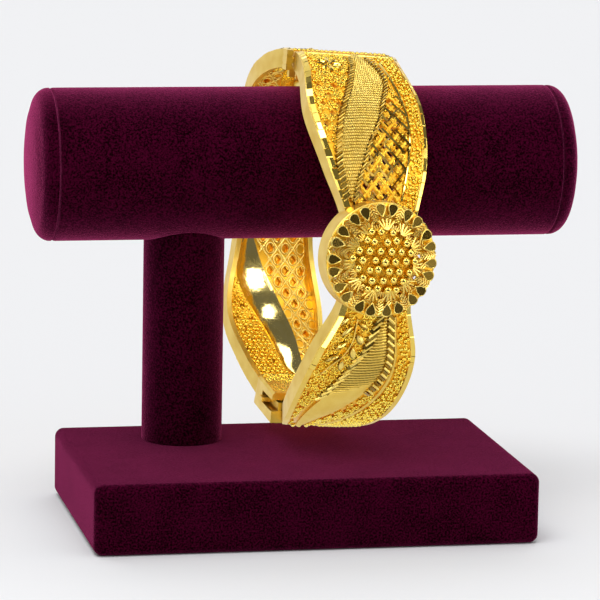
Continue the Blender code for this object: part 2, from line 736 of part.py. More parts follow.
def clasp_tongue():
    """Tongue with a foot behind the front half's end wall and a thumb tab in the box's notch."""
    low = -(TONGUE_DEPTH + TONGUE_THICKNESS)
    high = -TONGUE_DEPTH
    wall = along_degrees(WALL)
    back_of_wall = 180 - along_degrees(HALF_GAP) - wall - along_degrees(SEAT_GAP)
    foot_start = back_of_wall - along_degrees(FOOT_LENGTH)
    tip = 180 + along_degrees(TONGUE_LENGTH)
    tab_start = tip - along_degrees(TAB_LENGTH + SEAT_GAP)

    def bar(name, half_left, half_right, start, end, low_inset=0.0):
        corners = ((-half_left, low + low_inset), (-half_left, high - low_inset),
                   (half_right, high - low_inset), (half_right, low + low_inset))
        return loft(name, [[flat(a, u, h) for u, h in corners] for a in stations(start, end)])

    tongue = bar("clasp_tongue", TONGUE_HALF_WIDTH, TONGUE_HALF_WIDTH, foot_start + wall / 3, tip)
    foot = bar("foot", FOOT_HALF_WIDTH, FOOT_HALF_WIDTH, foot_start, back_of_wall, -FACE_STEP)
    tab = bar("tab", BOX_HALF_WIDTH + TAB_STAND_OUT, 0.0, tab_start, tip - along_degrees(SEAT_GAP),
              FACE_STEP)
    combine(tongue, foot, "UNION")
    combine(tongue, tab, "UNION")
    bend(tongue)
    return tongue


def ring_turn():
    return Matrix.Rotation(math.radians(RING_TURN), 4, "Z") @ Matrix.Rotation(math.radians(RING_LEAN), 4, "Y")


def ring_above_bar():
    """Height of the ring's centre over the bar's axis, its hinge walls just sitting on the bar's top."""
    clear = BAR_DIAMETER / 2 + SEAT_GAP
    start = hinge_start(FRONT_REACH)
    stop = 360 - hinge_start(BACK_REACH)
    wall = along_degrees(WALL + SEAT_GAP)
    turn = ring_turn()
    best = -math.inf
    for edges, angles in ((FRONT_EDGES, (start, start + wall)), (BACK_EDGES, (stop, stop - wall))):
        for angle in angles:
            for column in ("left", "right"):
                place = turn @ bent(flat(angle, across(edges, angle, column), -HINGE_WALL_DEPTH))
                best = max(best, math.sqrt(clear**2 - place.y**2) - place.z)
    return best


def ring_drop():
    """Depth of the ring's lowest point under its centre."""
    turn = ring_turn()
    lowest = math.inf
    for edges, angles in ((FRONT_EDGES, range(90, 181)), (BACK_EDGES, range(180, 271))):
        for angle in angles:
            for column in ("left", "right"):
                lowest = min(lowest, (turn @ bent(flat(angle, across(edges, angle, column), BOX_RISE))).z)
    return -lowest


def bar_height():
    """The stand is as tall as the bangle needs to hang clear of the base."""
    return BASE_HEIGHT + BANGLE_FOOT_GAP + ring_drop() - ring_above_bar()


def bar_back():
    return BASE_DEPTH / 2 - BAR_FROM_BACK_EDGE


def stand_base():
    base = block("stand_base", (-BASE_WIDTH / 2, -BASE_DEPTH / 2, 0), (BASE_WIDTH / 2, BASE_DEPTH / 2, BASE_HEIGHT))
    data = bmesh.new()
    data.from_mesh(base.data)
    bmesh.ops.dissolve_limit(data, angle_limit=0.01, verts=data.verts, edges=data.edges)
    data.to_mesh(base.data)
    data.free()
    edge = base.modifiers.new("Edge", "BEVEL")
    edge.width = BASE_EDGE_RADIUS
    edge.segments = 4
    return base


def stand_post():
    radius = POST_DIAMETER / 2
    low = BASE_HEIGHT + SEAT_GAP
    high = bar_height() - BAR_DIAMETER / 2 + POST_SOCKET_DEPTH
    post = turned("stand_post", ((0, low), (radius, low), (radius, high), (0, high)), BAR_SIDES)
    post.location = (POST_X, bar_back(), 0)
    return post


def stand_bar():
    radius = BAR_DIAMETER / 2
    bar = rod("stand_bar", radius, -BAR_LENGTH / 2, BAR_LENGTH / 2, BAR_SIDES)
    bar.data.transform(Matrix.Translation((BAR_X, bar_back(), bar_height())))
    room = POST_DIAMETER / 2 + SEAT_GAP
    top = bar_height() - radius + POST_SOCKET_DEPTH + SEAT_GAP
    socket = turned("socket", ((0, 0), (room, 0), (room, top), (0, top)), BAR_SIDES)
    socket.data.transform(Matrix.Translation((POST_X, bar_back(), 0)))
    combine(bar, socket, "DIFFERENCE")
    return bar


def bar_cap(name, side):
    """Padded round end, domed outward, with a seam's gap to the bar."""
    radius = BAR_DIAMETER / 2
    edge = BAR_CAP_EDGE
    shoulder = BAR_CAP_BULGE * 0.72
    profile = [(0, SEAT_GAP), (radius, SEAT_GAP)]
    for turn in (25, 50, 75):
        spin = math.radians(turn)
        profile.append((radius - edge * (1 - math.cos(spin)), SEAT_GAP + (shoulder - SEAT_GAP) * math.sin(spin)))
    profile += [(radius * 0.6, BAR_CAP_BULGE * 0.93), (0, BAR_CAP_BULGE)]
    cap = turned(name, profile, BAR_SIDES)
    cap.data.transform(Matrix.Rotation(math.pi / 2 * side, 4, "Y"))
    cap.location = (BAR_X + side * BAR_LENGTH / 2, bar_back(), bar_height())
    return cap


def material(name, colour, roughness, metallic):
    made = bpy.data.materials.new(name)
    made.use_nodes = True
    surface = made.node_tree.nodes["Principled BSDF"]
    surface.inputs["Base Color"].default_value = (*colour, 1)
    surface.inputs["Roughness"].default_value = roughness
    surface.inputs["Metallic"].default_value = metallic
    return made


def finish(thing, paint):
    thing.data.materials.clear()
    thing.data.materials.append(paint)
    thing.data.shade_smooth()
    thing.data.set_sharp_from_angle(angle=math.radians(35))


def build():
    for thing in list(bpy.data.objects):
        bpy.data.objects.remove(thing)
    gold = material("gold", (0.90, 0.58, 0.13), 0.18, 1.0)
    bright_gold = material("bright_gold", (0.96, 0.66, 0.18), 0.12, 1.0)
    steel_gold = material("clasp_gold", (0.86, 0.60, 0.20), 0.28, 1.0)
    velvet = material("velvet", (0.13, 0.008, 0.045), 0.95, 0.0)

    for piece in (stand_base(), stand_post(), stand_bar(), bar_cap("bar_cap_left", -1),
                  bar_cap("bar_cap_right", 1)):
        finish(piece, velvet)

    ring = bpy.data.objects.new("ring_frame", None)
    bpy.context.scene.collection.objects.link(ring)
    centre = (RING_X, bar_back(), bar_height() + ring_above_bar())
    ring.matrix_world = Matrix.Translation(centre) @ ring_turn()
    hinge = bpy.data.objects.new("hinge_axis", None)
    bpy.context.scene.collection.objects.link(hinge)
    hinge.parent = ring
    hinge.location = (0, 0, hinge_axis_height())

    for piece, paint in ((front_band(), gold), (flower_medallion(), bright_gold), (hinge_pin(), steel_gold),
                         (clasp_tongue(), steel_gold)):
        finish(piece, paint)
        piece.parent = ring
    back = back_band()
    back.data.transform(Matrix.Translation((0, 0, -hinge_axis_height())))
    finish(back, gold)
    back.parent = hinge


build()
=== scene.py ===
# %% [markdown]
# # A hinged filigree bangle on a velvet T-bar stand
# The real bangle is two curved halves of gold, hinged at the top and held by a box clasp below.
# Its fields are filled with tiny soldered rings and grains, its leaves are milled or bright-cut,
# and a domed flower is riveted to the front. The model that carries the sizes and the hinge comes
# in as a fixed frame, and this lesson dresses it.

# %% Load the frame
import json
import math

import bmesh
import bpy
import numpy as np
from mathutils import Matrix, Vector


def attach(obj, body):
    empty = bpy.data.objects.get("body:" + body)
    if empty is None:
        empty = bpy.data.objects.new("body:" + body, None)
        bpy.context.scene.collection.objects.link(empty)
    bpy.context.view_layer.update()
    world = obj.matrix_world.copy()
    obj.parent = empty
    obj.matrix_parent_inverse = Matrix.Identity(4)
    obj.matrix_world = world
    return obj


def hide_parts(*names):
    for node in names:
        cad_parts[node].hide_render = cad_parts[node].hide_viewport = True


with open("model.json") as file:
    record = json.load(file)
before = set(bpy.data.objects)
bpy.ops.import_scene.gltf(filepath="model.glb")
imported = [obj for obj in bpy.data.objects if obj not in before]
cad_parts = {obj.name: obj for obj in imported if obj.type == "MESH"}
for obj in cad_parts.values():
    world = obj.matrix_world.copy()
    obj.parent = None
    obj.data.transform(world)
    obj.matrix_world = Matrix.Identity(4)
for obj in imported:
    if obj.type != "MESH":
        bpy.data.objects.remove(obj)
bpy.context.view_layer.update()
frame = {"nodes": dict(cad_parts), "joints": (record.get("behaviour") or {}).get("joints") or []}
FRONT, BACK = "stand_and_front_half", "back_half"
MM = 0.001
print("solids:", sorted(frame["nodes"]))

# %% [markdown]
# ## The camera
# The photograph was taken with a long lens from a little above and from the left. Its place was worked
# out from the corners of the stand's base and the two seams of the bar, so a point of the model falls on
# the same spot of the picture.

# %% Camera
VIEW_TURN, VIEW_DROP, VIEW_ROLL = math.radians(11.89), math.radians(9.93), math.radians(1.08)
VIEW_DISTANCE, VIEW_TARGET = 655.0 * MM, Vector((0, 0, 40 * MM))
VIEW_ASIDE, VIEW_DOWN = 0.946, 0.681
SENSOR_WIDTH, FOCAL_LENGTH = 36.0, 223.2


def linked(name, data):
    """A new object in the scene."""
    thing = bpy.data.objects.new(name, data)
    bpy.context.scene.collection.objects.link(thing)
    return thing


ahead = Vector((math.sin(VIEW_TURN), math.cos(VIEW_TURN), 0))
forward = ahead * math.cos(VIEW_DROP) - Vector((0, 0, math.sin(VIEW_DROP)))
right = Vector((math.cos(VIEW_TURN), -math.sin(VIEW_TURN), 0))
upward = right.cross(forward)
side = right * math.cos(VIEW_ROLL) + upward * math.sin(VIEW_ROLL)
top = upward * math.cos(VIEW_ROLL) - right * math.sin(VIEW_ROLL)
lens = bpy.data.cameras.new("photo_camera")
lens.sensor_width, lens.lens = SENSOR_WIDTH, FOCAL_LENGTH
lens.clip_start, lens.clip_end = 0.01, 50
camera = linked("photo_camera", lens)
eye = VIEW_TARGET - forward * VIEW_DISTANCE + side * VIEW_ASIDE * MM - top * VIEW_DOWN * MM
camera.matrix_world = Matrix.Translation(eye) @ Matrix((side, top, -forward)).transposed().to_4x4()
bpy.context.scene.camera = camera
print("camera at", [round(x, 3) for x in eye])

# %% [markdown]
# ## Node helpers
# Colours, gloss and sky are all rules made of nodes. A few small functions add one node each, and every
# one takes either a number or another node's socket.

# %% Node helpers
def feed(tree, socket, value):
    """Link a socket to this one, or set this one to a number or a colour."""
    if isinstance(value, bpy.types.NodeSocket):
        tree.links.new(value, socket)
    else:
        socket.default_value = value


def math_node(tree, operation, first, second):
    node = tree.nodes.new("ShaderNodeMath")
    node.operation = operation
    feed(tree, node.inputs[0], first)
    feed(tree, node.inputs[1], second)
    return node.outputs[0]


def map_range(tree, value, low, high, to_low=0.0, to_high=1.0, kind="LINEAR"):
    node = tree.nodes.new("ShaderNodeMapRange")
    node.interpolation_type = kind
    for label, number in (("Value", value), ("From Min", low), ("From Max", high), ("To Min", to_low),
                          ("To Max", to_high)):
        feed(tree, node.inputs[label], number)
    return node.outputs["Result"]


def colour_mix(tree, factor, first, second):
    node = tree.nodes.new("ShaderNodeMix")
    node.data_type = "RGBA"
    for label, value in (("Factor", factor), ("A", first), ("B", second)):
        feed(tree, node.inputs[label], value)
    return node.outputs["Result"]


def noise(tree, place, scale, detail):
    node = tree.nodes.new("ShaderNodeTexNoise")
    for label, value in (("Vector", place), ("Scale", scale), ("Detail", detail)):
        feed(tree, node.inputs[label], value)
    return node.outputs["Fac"]


print("node helpers:", [f.__name__ for f in (feed, math_node, map_range, colour_mix, noise)])

# %% [markdown]
# ## The floor
# The stand is photographed on a matt pale sheet that runs out of the picture without an edge. A large plane
# does that. Painted shade makes its colour a little darker behind the stand, and it is kept out of the gold's
# reflections.

# %% Floor
FLOOR_REACH = 6
PAPER_NEAR, PAPER_SHADED_FAR = (0.88, 0.88, 0.89, 1), (0.772, 0.772, 0.782, 1)
bpy.context.scene.view_settings.view_transform = "Standard"
floor_mesh = bpy.data.meshes.new("floor")
floor_corners = [(x * FLOOR_REACH, y * FLOOR_REACH, 0) for x, y in ((-1, -1), (1, -1), (1, 1), (-1, 1))]
floor_mesh.from_pydata(floor_corners, [], [(0, 1, 2, 3)])
floor = linked("floor", floor_mesh)
floor.visible_glossy = False
paper = bpy.data.materials.new("floor_paper")
paper.use_nodes = True
tree = paper.node_tree
surface = tree.nodes["Principled BSDF"].inputs
split = tree.nodes.new("ShaderNodeSeparateXYZ")
feed(tree, split.inputs[0], tree.nodes.new("ShaderNodeTexCoord").outputs["Object"])
# Painted shade: the paper's colour turns darker away from the camera, behind the stand.
away = map_range(tree, split.outputs["Y"], -0.10, 0.08)
feed(tree, surface["Base Color"], colour_mix(tree, away, PAPER_NEAR, PAPER_SHADED_FAR))
surface["Roughness"].default_value, surface["Specular IOR Level"].default_value = 0.9, 0.0
floor_mesh.materials.append(paper)
print("floor:", 2 * FLOOR_REACH, "m wide")

# %% [markdown]
# ## The sky
# The shadows in the photograph are soft and faint, as under a large even light. An even sky gives that, with
# one brighter patch overhead and one behind, and it is a little dimmer at the camera and at the upper left.
# A broad lamp from the front left adds the slight direction that the stand's shadow has.

# %% Even sky
SKY_TINT = (0.985, 0.99, 1.0, 1)
tent = bpy.data.worlds.new("studio_tent")
bpy.context.scene.world = tent
tent.use_nodes = True
tree = tent.node_tree
tree.nodes.clear()
where = tree.nodes.new("ShaderNodeTexCoord").outputs["Generated"]


def facing(direction, low, high):
    """0 to 1 as a direction of the sky comes nearer to this one."""
    dot = tree.nodes.new("ShaderNodeVectorMath")
    dot.operation = "DOT_PRODUCT"
    feed(tree, dot.inputs[0], where)
    feed(tree, dot.inputs[1], Vector(direction).normalized())
    return map_range(tree, dot.outputs["Value"], low, high, kind="SMOOTHSTEP")


def patch(direction, low, high, strength):
    """Light from one side of the sky."""
    return math_node(tree, "MULTIPLY", facing(direction, low, high), strength)


def background(colour, strength=1.0):
    node = tree.nodes.new("ShaderNodeBackground")
    feed(tree, node.inputs["Color"], colour)
    feed(tree, node.inputs["Strength"], strength)
    return node.outputs[0]


dim = math_node(tree, "MAXIMUM", facing((-0.15, -0.97, 0.02), 0.45, 0.80),
                facing((-0.75, 0.10, 0.62), 0.86, 0.95))
ambient = math_node(tree, "SUBTRACT", 0.62, math_node(tree, "MULTIPLY", dim, 0.22))
overhead = patch((-0.20, -0.20, 0.95), 0.88, 0.95, 2.0)
behind = patch((0.0, 0.75, 0.66), 0.75, 0.92, 0.9)
sky = background(SKY_TINT, math_node(tree, "ADD", ambient, math_node(tree, "ADD", overhead, behind)))

lamp = bpy.data.lights.new("key_light", "SUN")
lamp.energy, lamp.angle = 0.35, math.radians(30)
key_light = linked("key_light", lamp)
key_light.rotation_mode = "QUATERNION"
key_light.rotation_quaternion = Vector((0.25, 0.30, -0.90)).to_track_quat("-Z", "Y")
print("sky and lamp ready")

# %% [markdown]
# ## The room that metal sees
# Polished gold has no look of its own: it shows whatever is around it. Rays that bounce off metal therefore
# meet a room apart, which is dark, with a pale backdrop, a pale table and ten small panels. The dark parts
# give the gold its brown shades, and the panels its white lights. The camera sees one plain pale tone.

# %% Dark room with panels
BACKDROP_TINT = (0.875, 0.880, 0.893, 1)
# Each panel has a direction, half its angle across in degrees, and a strength.
PANELS = (((-0.45, -0.62, 0.72), 12, 8.0), ((0.72, -0.50, 0.50), 13, 4.0), ((0.20, 0.05, 0.97), 11, 5.0),
          ((-0.85, -0.45, 0.25), 7, 6.0), ((0.43, -0.71, 0.55), 6, 9.0), ((0.41, -0.44, 0.80), 3.2, 9.0),
          ((0.95, -0.2, 0.10), 12, 3.0), ((-0.55, -0.75, -0.28), 9, 4.0), ((0.82, -0.52, -0.24), 9, 4.0),
          ((0.05, -0.78, -0.60), 8, 4.0))
backdrop, table = patch((0.0, 1.0, 0.0), 0.30, 0.62, 0.80), patch((0.0, 0.1, -1.0), 0.15, 0.55, 0.72)
room = math_node(tree, "ADD", math_node(tree, "MAXIMUM", backdrop, table), 0.16)
for direction, half_angle, strength in PANELS:
    outer, inner = (math.cos(math.radians(half_angle + soft)) for soft in (1, 0))
    room = math_node(tree, "ADD", room, patch(direction, outer, inner, strength))
rays = tree.nodes.new("ShaderNodeLightPath")
chosen = sky
for kind, picture in (("Is Glossy Ray", background(SKY_TINT, room)),
                      ("Is Camera Ray", background(BACKDROP_TINT))):
    choose = tree.nodes.new("ShaderNodeMixShader")
    for socket, value in zip(choose.inputs, (rays.outputs[kind], chosen, picture)):
        feed(tree, socket, value)
    chosen = choose.outputs[0]
feed(tree, tree.nodes.new("ShaderNodeOutputWorld").inputs["Surface"], chosen)
print("room with", len(PANELS), "panels")

# %% [markdown]
# ## Gold finishes
# Every worked metal is a little uneven, so one shader group makes slow patches of colour and gloss and a fine
# grain. Each finish sets its own colours, gloss and grain on its own Principled shader: cast, beaded, satin,
# bright-cut, mirror, milled, and two dark ones that paint shade on cut facets and in grooves. The cast
# ground's deep orange is partly painted bounce light, the glow that gold throws back into its own hollows.

# %% Worked metal
def new_group(name, inputs, outputs):
    group = bpy.data.node_groups.new(name, "ShaderNodeTree")
    for label, kind, value in inputs:
        socket = group.interface.new_socket(label, in_out="INPUT", socket_type=kind)
        socket.default_value = value
    for label, kind in outputs:
        group.interface.new_socket(label, in_out="OUTPUT", socket_type=kind)
    return group, group.nodes.new("NodeGroupInput").outputs, group.nodes.new("NodeGroupOutput").inputs


metal_work, start, end = new_group(
    "Worked metal",
    (("Colour", "NodeSocketColor", (0.9, 0.6, 0.2, 1)),
     ("Deep colour", "NodeSocketColor", (0.8, 0.4, 0.1, 1)),
     ("Grain size", "NodeSocketFloat", 2500.0), ("Gloss low", "NodeSocketFloat", 0.1),
     ("Gloss high", "NodeSocketFloat", 0.3)),
    (("Colour", "NodeSocketColor"), ("Roughness", "NodeSocketFloat"), ("Height", "NodeSocketFloat")))
place = metal_work.nodes.new("ShaderNodeTexCoord").outputs["Object"]
patches = noise(metal_work, place, 420.0, 4.0)
feed(metal_work, end["Height"], noise(metal_work, place, start["Grain size"], 4.0))
feed(metal_work, end["Colour"], colour_mix(metal_work, map_range(metal_work, patches, 0.35, 0.7),
                                           start["Colour"], start["Deep colour"]))
feed(metal_work, end["Roughness"], map_range(metal_work, patches, 0.3, 0.7, start["Gloss low"],
                                             start["Gloss high"]))
print("group:", metal_work.name)

# %% [markdown]
# Colour and roughness come from the group, and its height gives the bump. Only the cast ground is set a
# little below full metal, because its fine casting skin scatters some light.

# %% Gold finishes
def new_finish(name, group, distance, strength):
    """A material with a group in it, whose height gives the bump."""
    made = bpy.data.materials.new(name)
    made.use_nodes = True
    tree = made.node_tree
    surface = tree.nodes["Principled BSDF"].inputs
    work, bump = tree.nodes.new("ShaderNodeGroup"), tree.nodes.new("ShaderNodeBump")
    work.node_tree = group
    for socket, value in ((bump.inputs["Distance"], distance), (bump.inputs["Strength"], strength),
                          (bump.inputs["Height"], work.outputs["Height"]),
                          (surface["Normal"], bump.outputs["Normal"])):
        feed(tree, socket, value)
    return made, tree, surface, work


def gold(name, colour, deep, gloss, grain_size, bump, metallic=1.0):
    made, tree, surface, work = new_finish(name, metal_work, bump * MM, 1.0)
    for label, value in (("Colour", (*colour, 1)), ("Deep colour", (*deep, 1)), ("Grain size", grain_size),
                         ("Gloss low", gloss[0]), ("Gloss high", gloss[1])):
        work.inputs[label].default_value = value
    feed(tree, surface["Base Color"], work.outputs["Colour"])
    feed(tree, surface["Roughness"], work.outputs["Roughness"])
    surface["Metallic"].default_value = metallic
    return made


# A finish has a colour, a deeper one, its lowest and highest roughness, a grain and a bump in millimetres.
# Cast ground: a matt finish whose deep orange is partly painted bounce light.
CAST_BOUNCE_GOLD = gold("cast_gold_painted_bounce", (1.0, 0.57, 0.035), (0.97, 0.46, 0.013), (0.28, 0.46), 2600, 0.015, 0.7)
BEAD_GOLD = gold("bead_gold", (0.95, 0.735, 0.12), (0.95, 0.64, 0.055), (0.08, 0.17), 2200, 0.004)
SATIN_GOLD = gold("satin_gold", (0.86, 0.61, 0.13), (0.82, 0.55, 0.095), (0.34, 0.44), 1500, 0.006)
BRIGHT_GOLD = gold("bright_cut_gold", (0.90, 0.67, 0.15), (0.87, 0.61, 0.11), (0.05, 0.12), 900, 0.004)
MIRROR_GOLD = gold("mirror_gold", (0.88, 0.71, 0.27), (0.82, 0.63, 0.19), (0.04, 0.12), 260, 0.05)
# The next two are painted shade: dark colours for cut facets and for grooves.
PAINTED_SHADE_GOLD = gold("painted_shade_gold", (0.36, 0.235, 0.045), (0.27, 0.165, 0.022), (0.16, 0.30), 900, 0.004)
GROOVE_SHADE_GOLD = gold("groove_painted_shade_gold", (0.50, 0.31, 0.04), (0.42, 0.25, 0.025), (0.30, 0.42), 3000, 0.006)
MILLED_GOLD = gold("milled_gold", (0.93, 0.71, 0.19), (0.90, 0.645, 0.135), (0.26, 0.38), 3000, 0.006)
print("gold finishes:", [m.name for m in (CAST_BOUNCE_GOLD, BEAD_GOLD, SATIN_GOLD, BRIGHT_GOLD, MIRROR_GOLD,
                                          PAINTED_SHADE_GOLD, GROOVE_SHADE_GOLD, MILLED_GOLD)])

# %% [markdown]
# ## Velvet
# Velvet is a short dense pile. Seen from above it is nearly black. Towards the outline a painted sheen lifts
# its colour, in place of the pile tips that catch the light there, and the shader's own sheen lies over it. A
# fine noise stands for the tufts and a broad one for the places where the pile lies over.

# %% Velvet
PILE_ROOT, PILE_TIP = (0.006, 0.00015, 0.0017, 1), (0.058, 0.0014, 0.0160, 1)
PILE_PAINTED_SHEEN, PILE_SHEEN = (0.29, 0.029, 0.107, 1), (0.80, 0.10, 0.31, 1)
pile_group, start, end = new_group(
    "Velvet pile",
    (("Nap size", "NodeSocketFloat", 3000.0),),
    (("Shade", "NodeSocketFloat"), ("Height", "NodeSocketFloat")))
place = pile_group.nodes.new("ShaderNodeTexCoord").outputs["Object"]
tuft = noise(pile_group, place, start["Nap size"], 2.0)
swirl = noise(pile_group, place, 160.0, 4.0)
both = math_node(pile_group, "ADD", math_node(pile_group, "MULTIPLY", tuft, 0.8),
                 math_node(pile_group, "MULTIPLY", swirl, 0.2))
feed(pile_group, end["Shade"], map_range(pile_group, both, 0.40, 0.60))
feed(pile_group, end["Height"], tuft)


def velvet(name, lit):
    made, tree, surface, pile = new_finish(name, pile_group, 0.25 * MM, 0.8)
    shade = pile.outputs["Shade"]
    edge_on = tree.nodes.new("ShaderNodeLayerWeight")
    edge_on.inputs["Blend"].default_value = 0.5
    # Painted sheen: towards the outline the colour turns to a paler tone, in place of lit pile tips.
    painted_sheen = math_node(tree, "MULTIPLY", math_node(tree, "POWER", edge_on.outputs["Facing"], 2.2), lit)
    painted_sheen = math_node(tree, "MULTIPLY", painted_sheen, map_range(tree, shade, 0.0, 1.0, 0.76, 1.32))
    feed(tree, surface["Base Color"], colour_mix(tree, painted_sheen, colour_mix(tree, shade, PILE_ROOT, PILE_TIP),
                                                 PILE_PAINTED_SHEEN))
    for label, value in (("Roughness", 1.0), ("Specular IOR Level", 0.0), ("Sheen Weight", 1.1 * lit),
                         ("Sheen Roughness", 0.24), ("Sheen Tint", PILE_SHEEN)):
        surface[label].default_value = value
    return made


# The board's velvet gets less of both sheens, the painted one and the shader's, so it comes out darker than
# the bar's.
VELVET, BOARD_VELVET = velvet("burgundy_velvet", 0.90), velvet("burgundy_board_velvet", 0.46)
print("velvets:", VELVET.name, BOARD_VELVET.name)

# %% [markdown]
# ## Where things are on the bangle
# Every place is an angle round the oval (0 at the hinge, 90 at the front, 180 at the clasp), a distance
# across the band and a height over its outer face. One function turns such a place into the real one, so
# flat drawing rules give curved goldwork.

# %% The oval
OVAL_HEIGHT, FRONT_REACH, BACK_REACH = 66.6 * MM, 27.9 * MM, 33.8 * MM
HALF_WIDTH, BAND_DEPTH = 10.5 * MM, 3.1 * MM
PLATE, WALL = 0.9 * MM, 0.9 * MM
BARREL, HINGE_DROP = 1.5 * MM, 31.8 * MM
RING_TURN, RING_LEAN = 6.0, 4.2
ARC = (FRONT_REACH + OVAL_HEIGHT / 2) / 2
TURN = np.array(Matrix.Rotation(math.radians(RING_TURN), 3, "Z")
                @ Matrix.Rotation(math.radians(RING_LEAN), 3, "Y"))
CENTRE = np.array(frame["joints"][0]["pos_m"]) - TURN @ (0, 0, HINGE_DROP)


def to_stand(places):
    """From the ring's own frame to the stand's."""
    return np.asarray(places, float) @ TURN.T + CENTRE


def ring_seat(angle, across, height=0.0):
    """Places, outward and along directions in the ring's own frame."""
    angle, across, height = np.broadcast_arrays(*(np.asarray(v, float) for v in (angle, across, height)))
    theta = np.radians(angle)
    reach = np.where(np.sin(theta) >= 0, FRONT_REACH, BACK_REACH)
    half = OVAL_HEIGHT / 2
    zero = np.zeros_like(theta)
    out = np.stack([zero, -np.sin(theta) / reach, np.cos(theta) / half], -1)
    out /= np.linalg.norm(out, axis=-1, keepdims=True)
    run = np.stack([zero, -reach * np.cos(theta), -half * np.sin(theta)], -1)
    run /= np.linalg.norm(run, axis=-1, keepdims=True)
    point = np.stack([across, -reach * np.sin(theta), half * np.cos(theta)], -1) + out * height[..., None]
    return point, out, run


def seat(angle, across, height=0.0):
    return to_stand(ring_seat(angle, across, height)[0])


def curve(rows, angle, column=1):
    """A smooth curve through a table's column, as a length across the band."""
    rows = np.asarray(rows, float)
    keys, values = rows[:, 0], rows[:, column] * HALF_WIDTH
    slopes = np.gradient(values, keys)
    slopes[1:-1] = (values[2:] - values[:-2]) / (keys[2:] - keys[:-2])
    angle = np.clip(angle, keys[0], keys[-1])
    spot = np.clip(np.searchsorted(keys, angle, "right") - 1, 0, len(keys) - 2)
    width = keys[spot + 1] - keys[spot]
    s = (angle - keys[spot]) / width
    return (values[spot] * (2 * s**3 - 3 * s**2 + 1) + slopes[spot] * width * (s**3 - 2 * s**2 + s)
            + values[spot + 1] * (3 * s**2 - 2 * s**3) + slopes[spot + 1] * width * (s**3 - s**2))


print("oval:", round(OVAL_HEIGHT / MM, 1), "mm high,", round((FRONT_REACH + BACK_REACH) / MM, 1), "mm deep")

# %% [markdown]
# ## Outlines
# The edges of the bands, leaves and lines are short tables: an angle, then shares of the half width, less
# than 0 on the left. A smooth curve runs through each, so few numbers give a clean outline.

# %% Outlines of the bands, leaves and lines
FRONT_EDGES = ((0, -0.89, 0.88), (18, -0.98, 0.80), (40, -1.10, 0.90), (60, -0.88, 0.84), (77, -0.57, 0.64),
               (88, -0.52, 0.63), (103, -0.51, 0.68), (120, -0.80, 0.95), (140, -0.90, 0.96),
               (160, -0.78, 0.82), (180, -0.50, 0.54))
BACK_EDGES = ((180, -0.58, 0.58), (200, -0.60, 0.62), (215, -0.73, 0.70), (235, -0.91, 0.86),
              (262, -0.68, 0.73), (290, -0.78, 0.79), (325, -1.04, 0.93), (345, -1.00, 0.92),
              (360, -0.89, 0.88))
UPPER_LEAF = ((6, 0.02, 0.16), (16, -0.04, 0.25), (23, -0.14, 0.32), (30, -0.25, 0.30), (38, -0.41, 0.17),
              (45, -0.54, 0.05), (53, -0.62, -0.16), (60, -0.64, -0.29), (67, -0.58, -0.42),
              (72, -0.51, -0.47))
LOWER_LEAF = ((105, 0.27, 0.30), (111, 0.18, 0.35), (117, 0.12, 0.41), (123, -0.03, 0.45), (130, -0.18, 0.40),
              (138, -0.37, 0.23), (147, -0.52, -0.01), (157, -0.54, -0.28), (170, -0.42, -0.36))
BACK_LEAF = ((208, 0.22, 0.28), (213, 0.06, 0.36), (220, -0.02, 0.38), (229, -0.17, 0.33), (238, -0.40, 0.17),
             (245, -0.57, 0.02), (251, -0.62, -0.13), (258, -0.55, -0.26), (265, -0.46, -0.38))
BACK_UPPER_LEAF = ((272, 0.42, 0.50), (280, 0.27, 0.56), (290, 0.12, 0.54), (302, -0.10, 0.50),
                   (315, -0.34, 0.40), (328, -0.50, 0.17), (340, -0.55, -0.14), (352, -0.48, -0.36))
UPPER_LINE = ((14, 0.44), (22, 0.47), (29, 0.52), (36, 0.57), (44, 0.60), (51, 0.58), (58, 0.53), (64, 0.46),
              (71, 0.38))
LOWER_LINE = ((106, 0.44), (113, 0.51), (120, 0.60), (128, 0.62), (136, 0.56), (144, 0.43), (152, 0.26),
              (160, 0.08), (168, -0.08))
VINE_LINE = ((107, -0.22), (110.7, -0.22), (114.1, -0.223), (117.4, -0.27), (120.9, -0.36), (123.5, -0.485),
             (127.5, -0.63))
# Each leaf has an angle, a share, the way it points, its length and its width in millimetres.
VINE_LEAVES = ((111.0, -0.356, -45, 2.7, 0.75), (116.1, -0.397, -56, 2.5, 0.65),
               (120.8, -0.502, -66, 2.5, 0.7), (113.6, -0.105, 38, 2.15, 1.0), (118.6, -0.172, 15, 2.3, 0.95),
               (123.4, -0.318, 4, 2.1, 0.85), (109.0, -0.102, 62, 1.9, 0.55), (107.6, -0.42, -45, 1.9, 0.7))


def edge(rows, column=1, inset=0.0):
    """An outline as a rule: an angle in, a length across the band out."""
    return lambda angle: curve(rows, angle, column) + inset


front_width = float(curve(FRONT_EDGES, 90, 2) - curve(FRONT_EDGES, 90))
print("band width at the front:", round(front_width / MM, 1), "mm")

# %% [markdown]
# ## Tools for making pieces
# A piece is a mesh in the stand's own space, carried by one of the two moving bodies. Most goldwork is a
# row of cross-sections joined into a closed solid, so one function makes that, and one class gathers many
# such solids in one piece.

# %% Mesh helpers
def new_object(name, places, faces, weld=0.0):
    """A mesh object whose faces all look outward. Places nearer than a weld length become one."""
    mesh = bpy.data.meshes.new(name)
    mesh.from_pydata([tuple(p) for p in places], [], faces)
    work = bmesh.new()
    work.from_mesh(mesh)
    if weld:
        bmesh.ops.remove_doubles(work, verts=work.verts, dist=weld)
    bmesh.ops.recalc_face_normals(work, faces=work.faces)
    work.to_mesh(mesh)
    work.free()
    return linked(name, mesh)


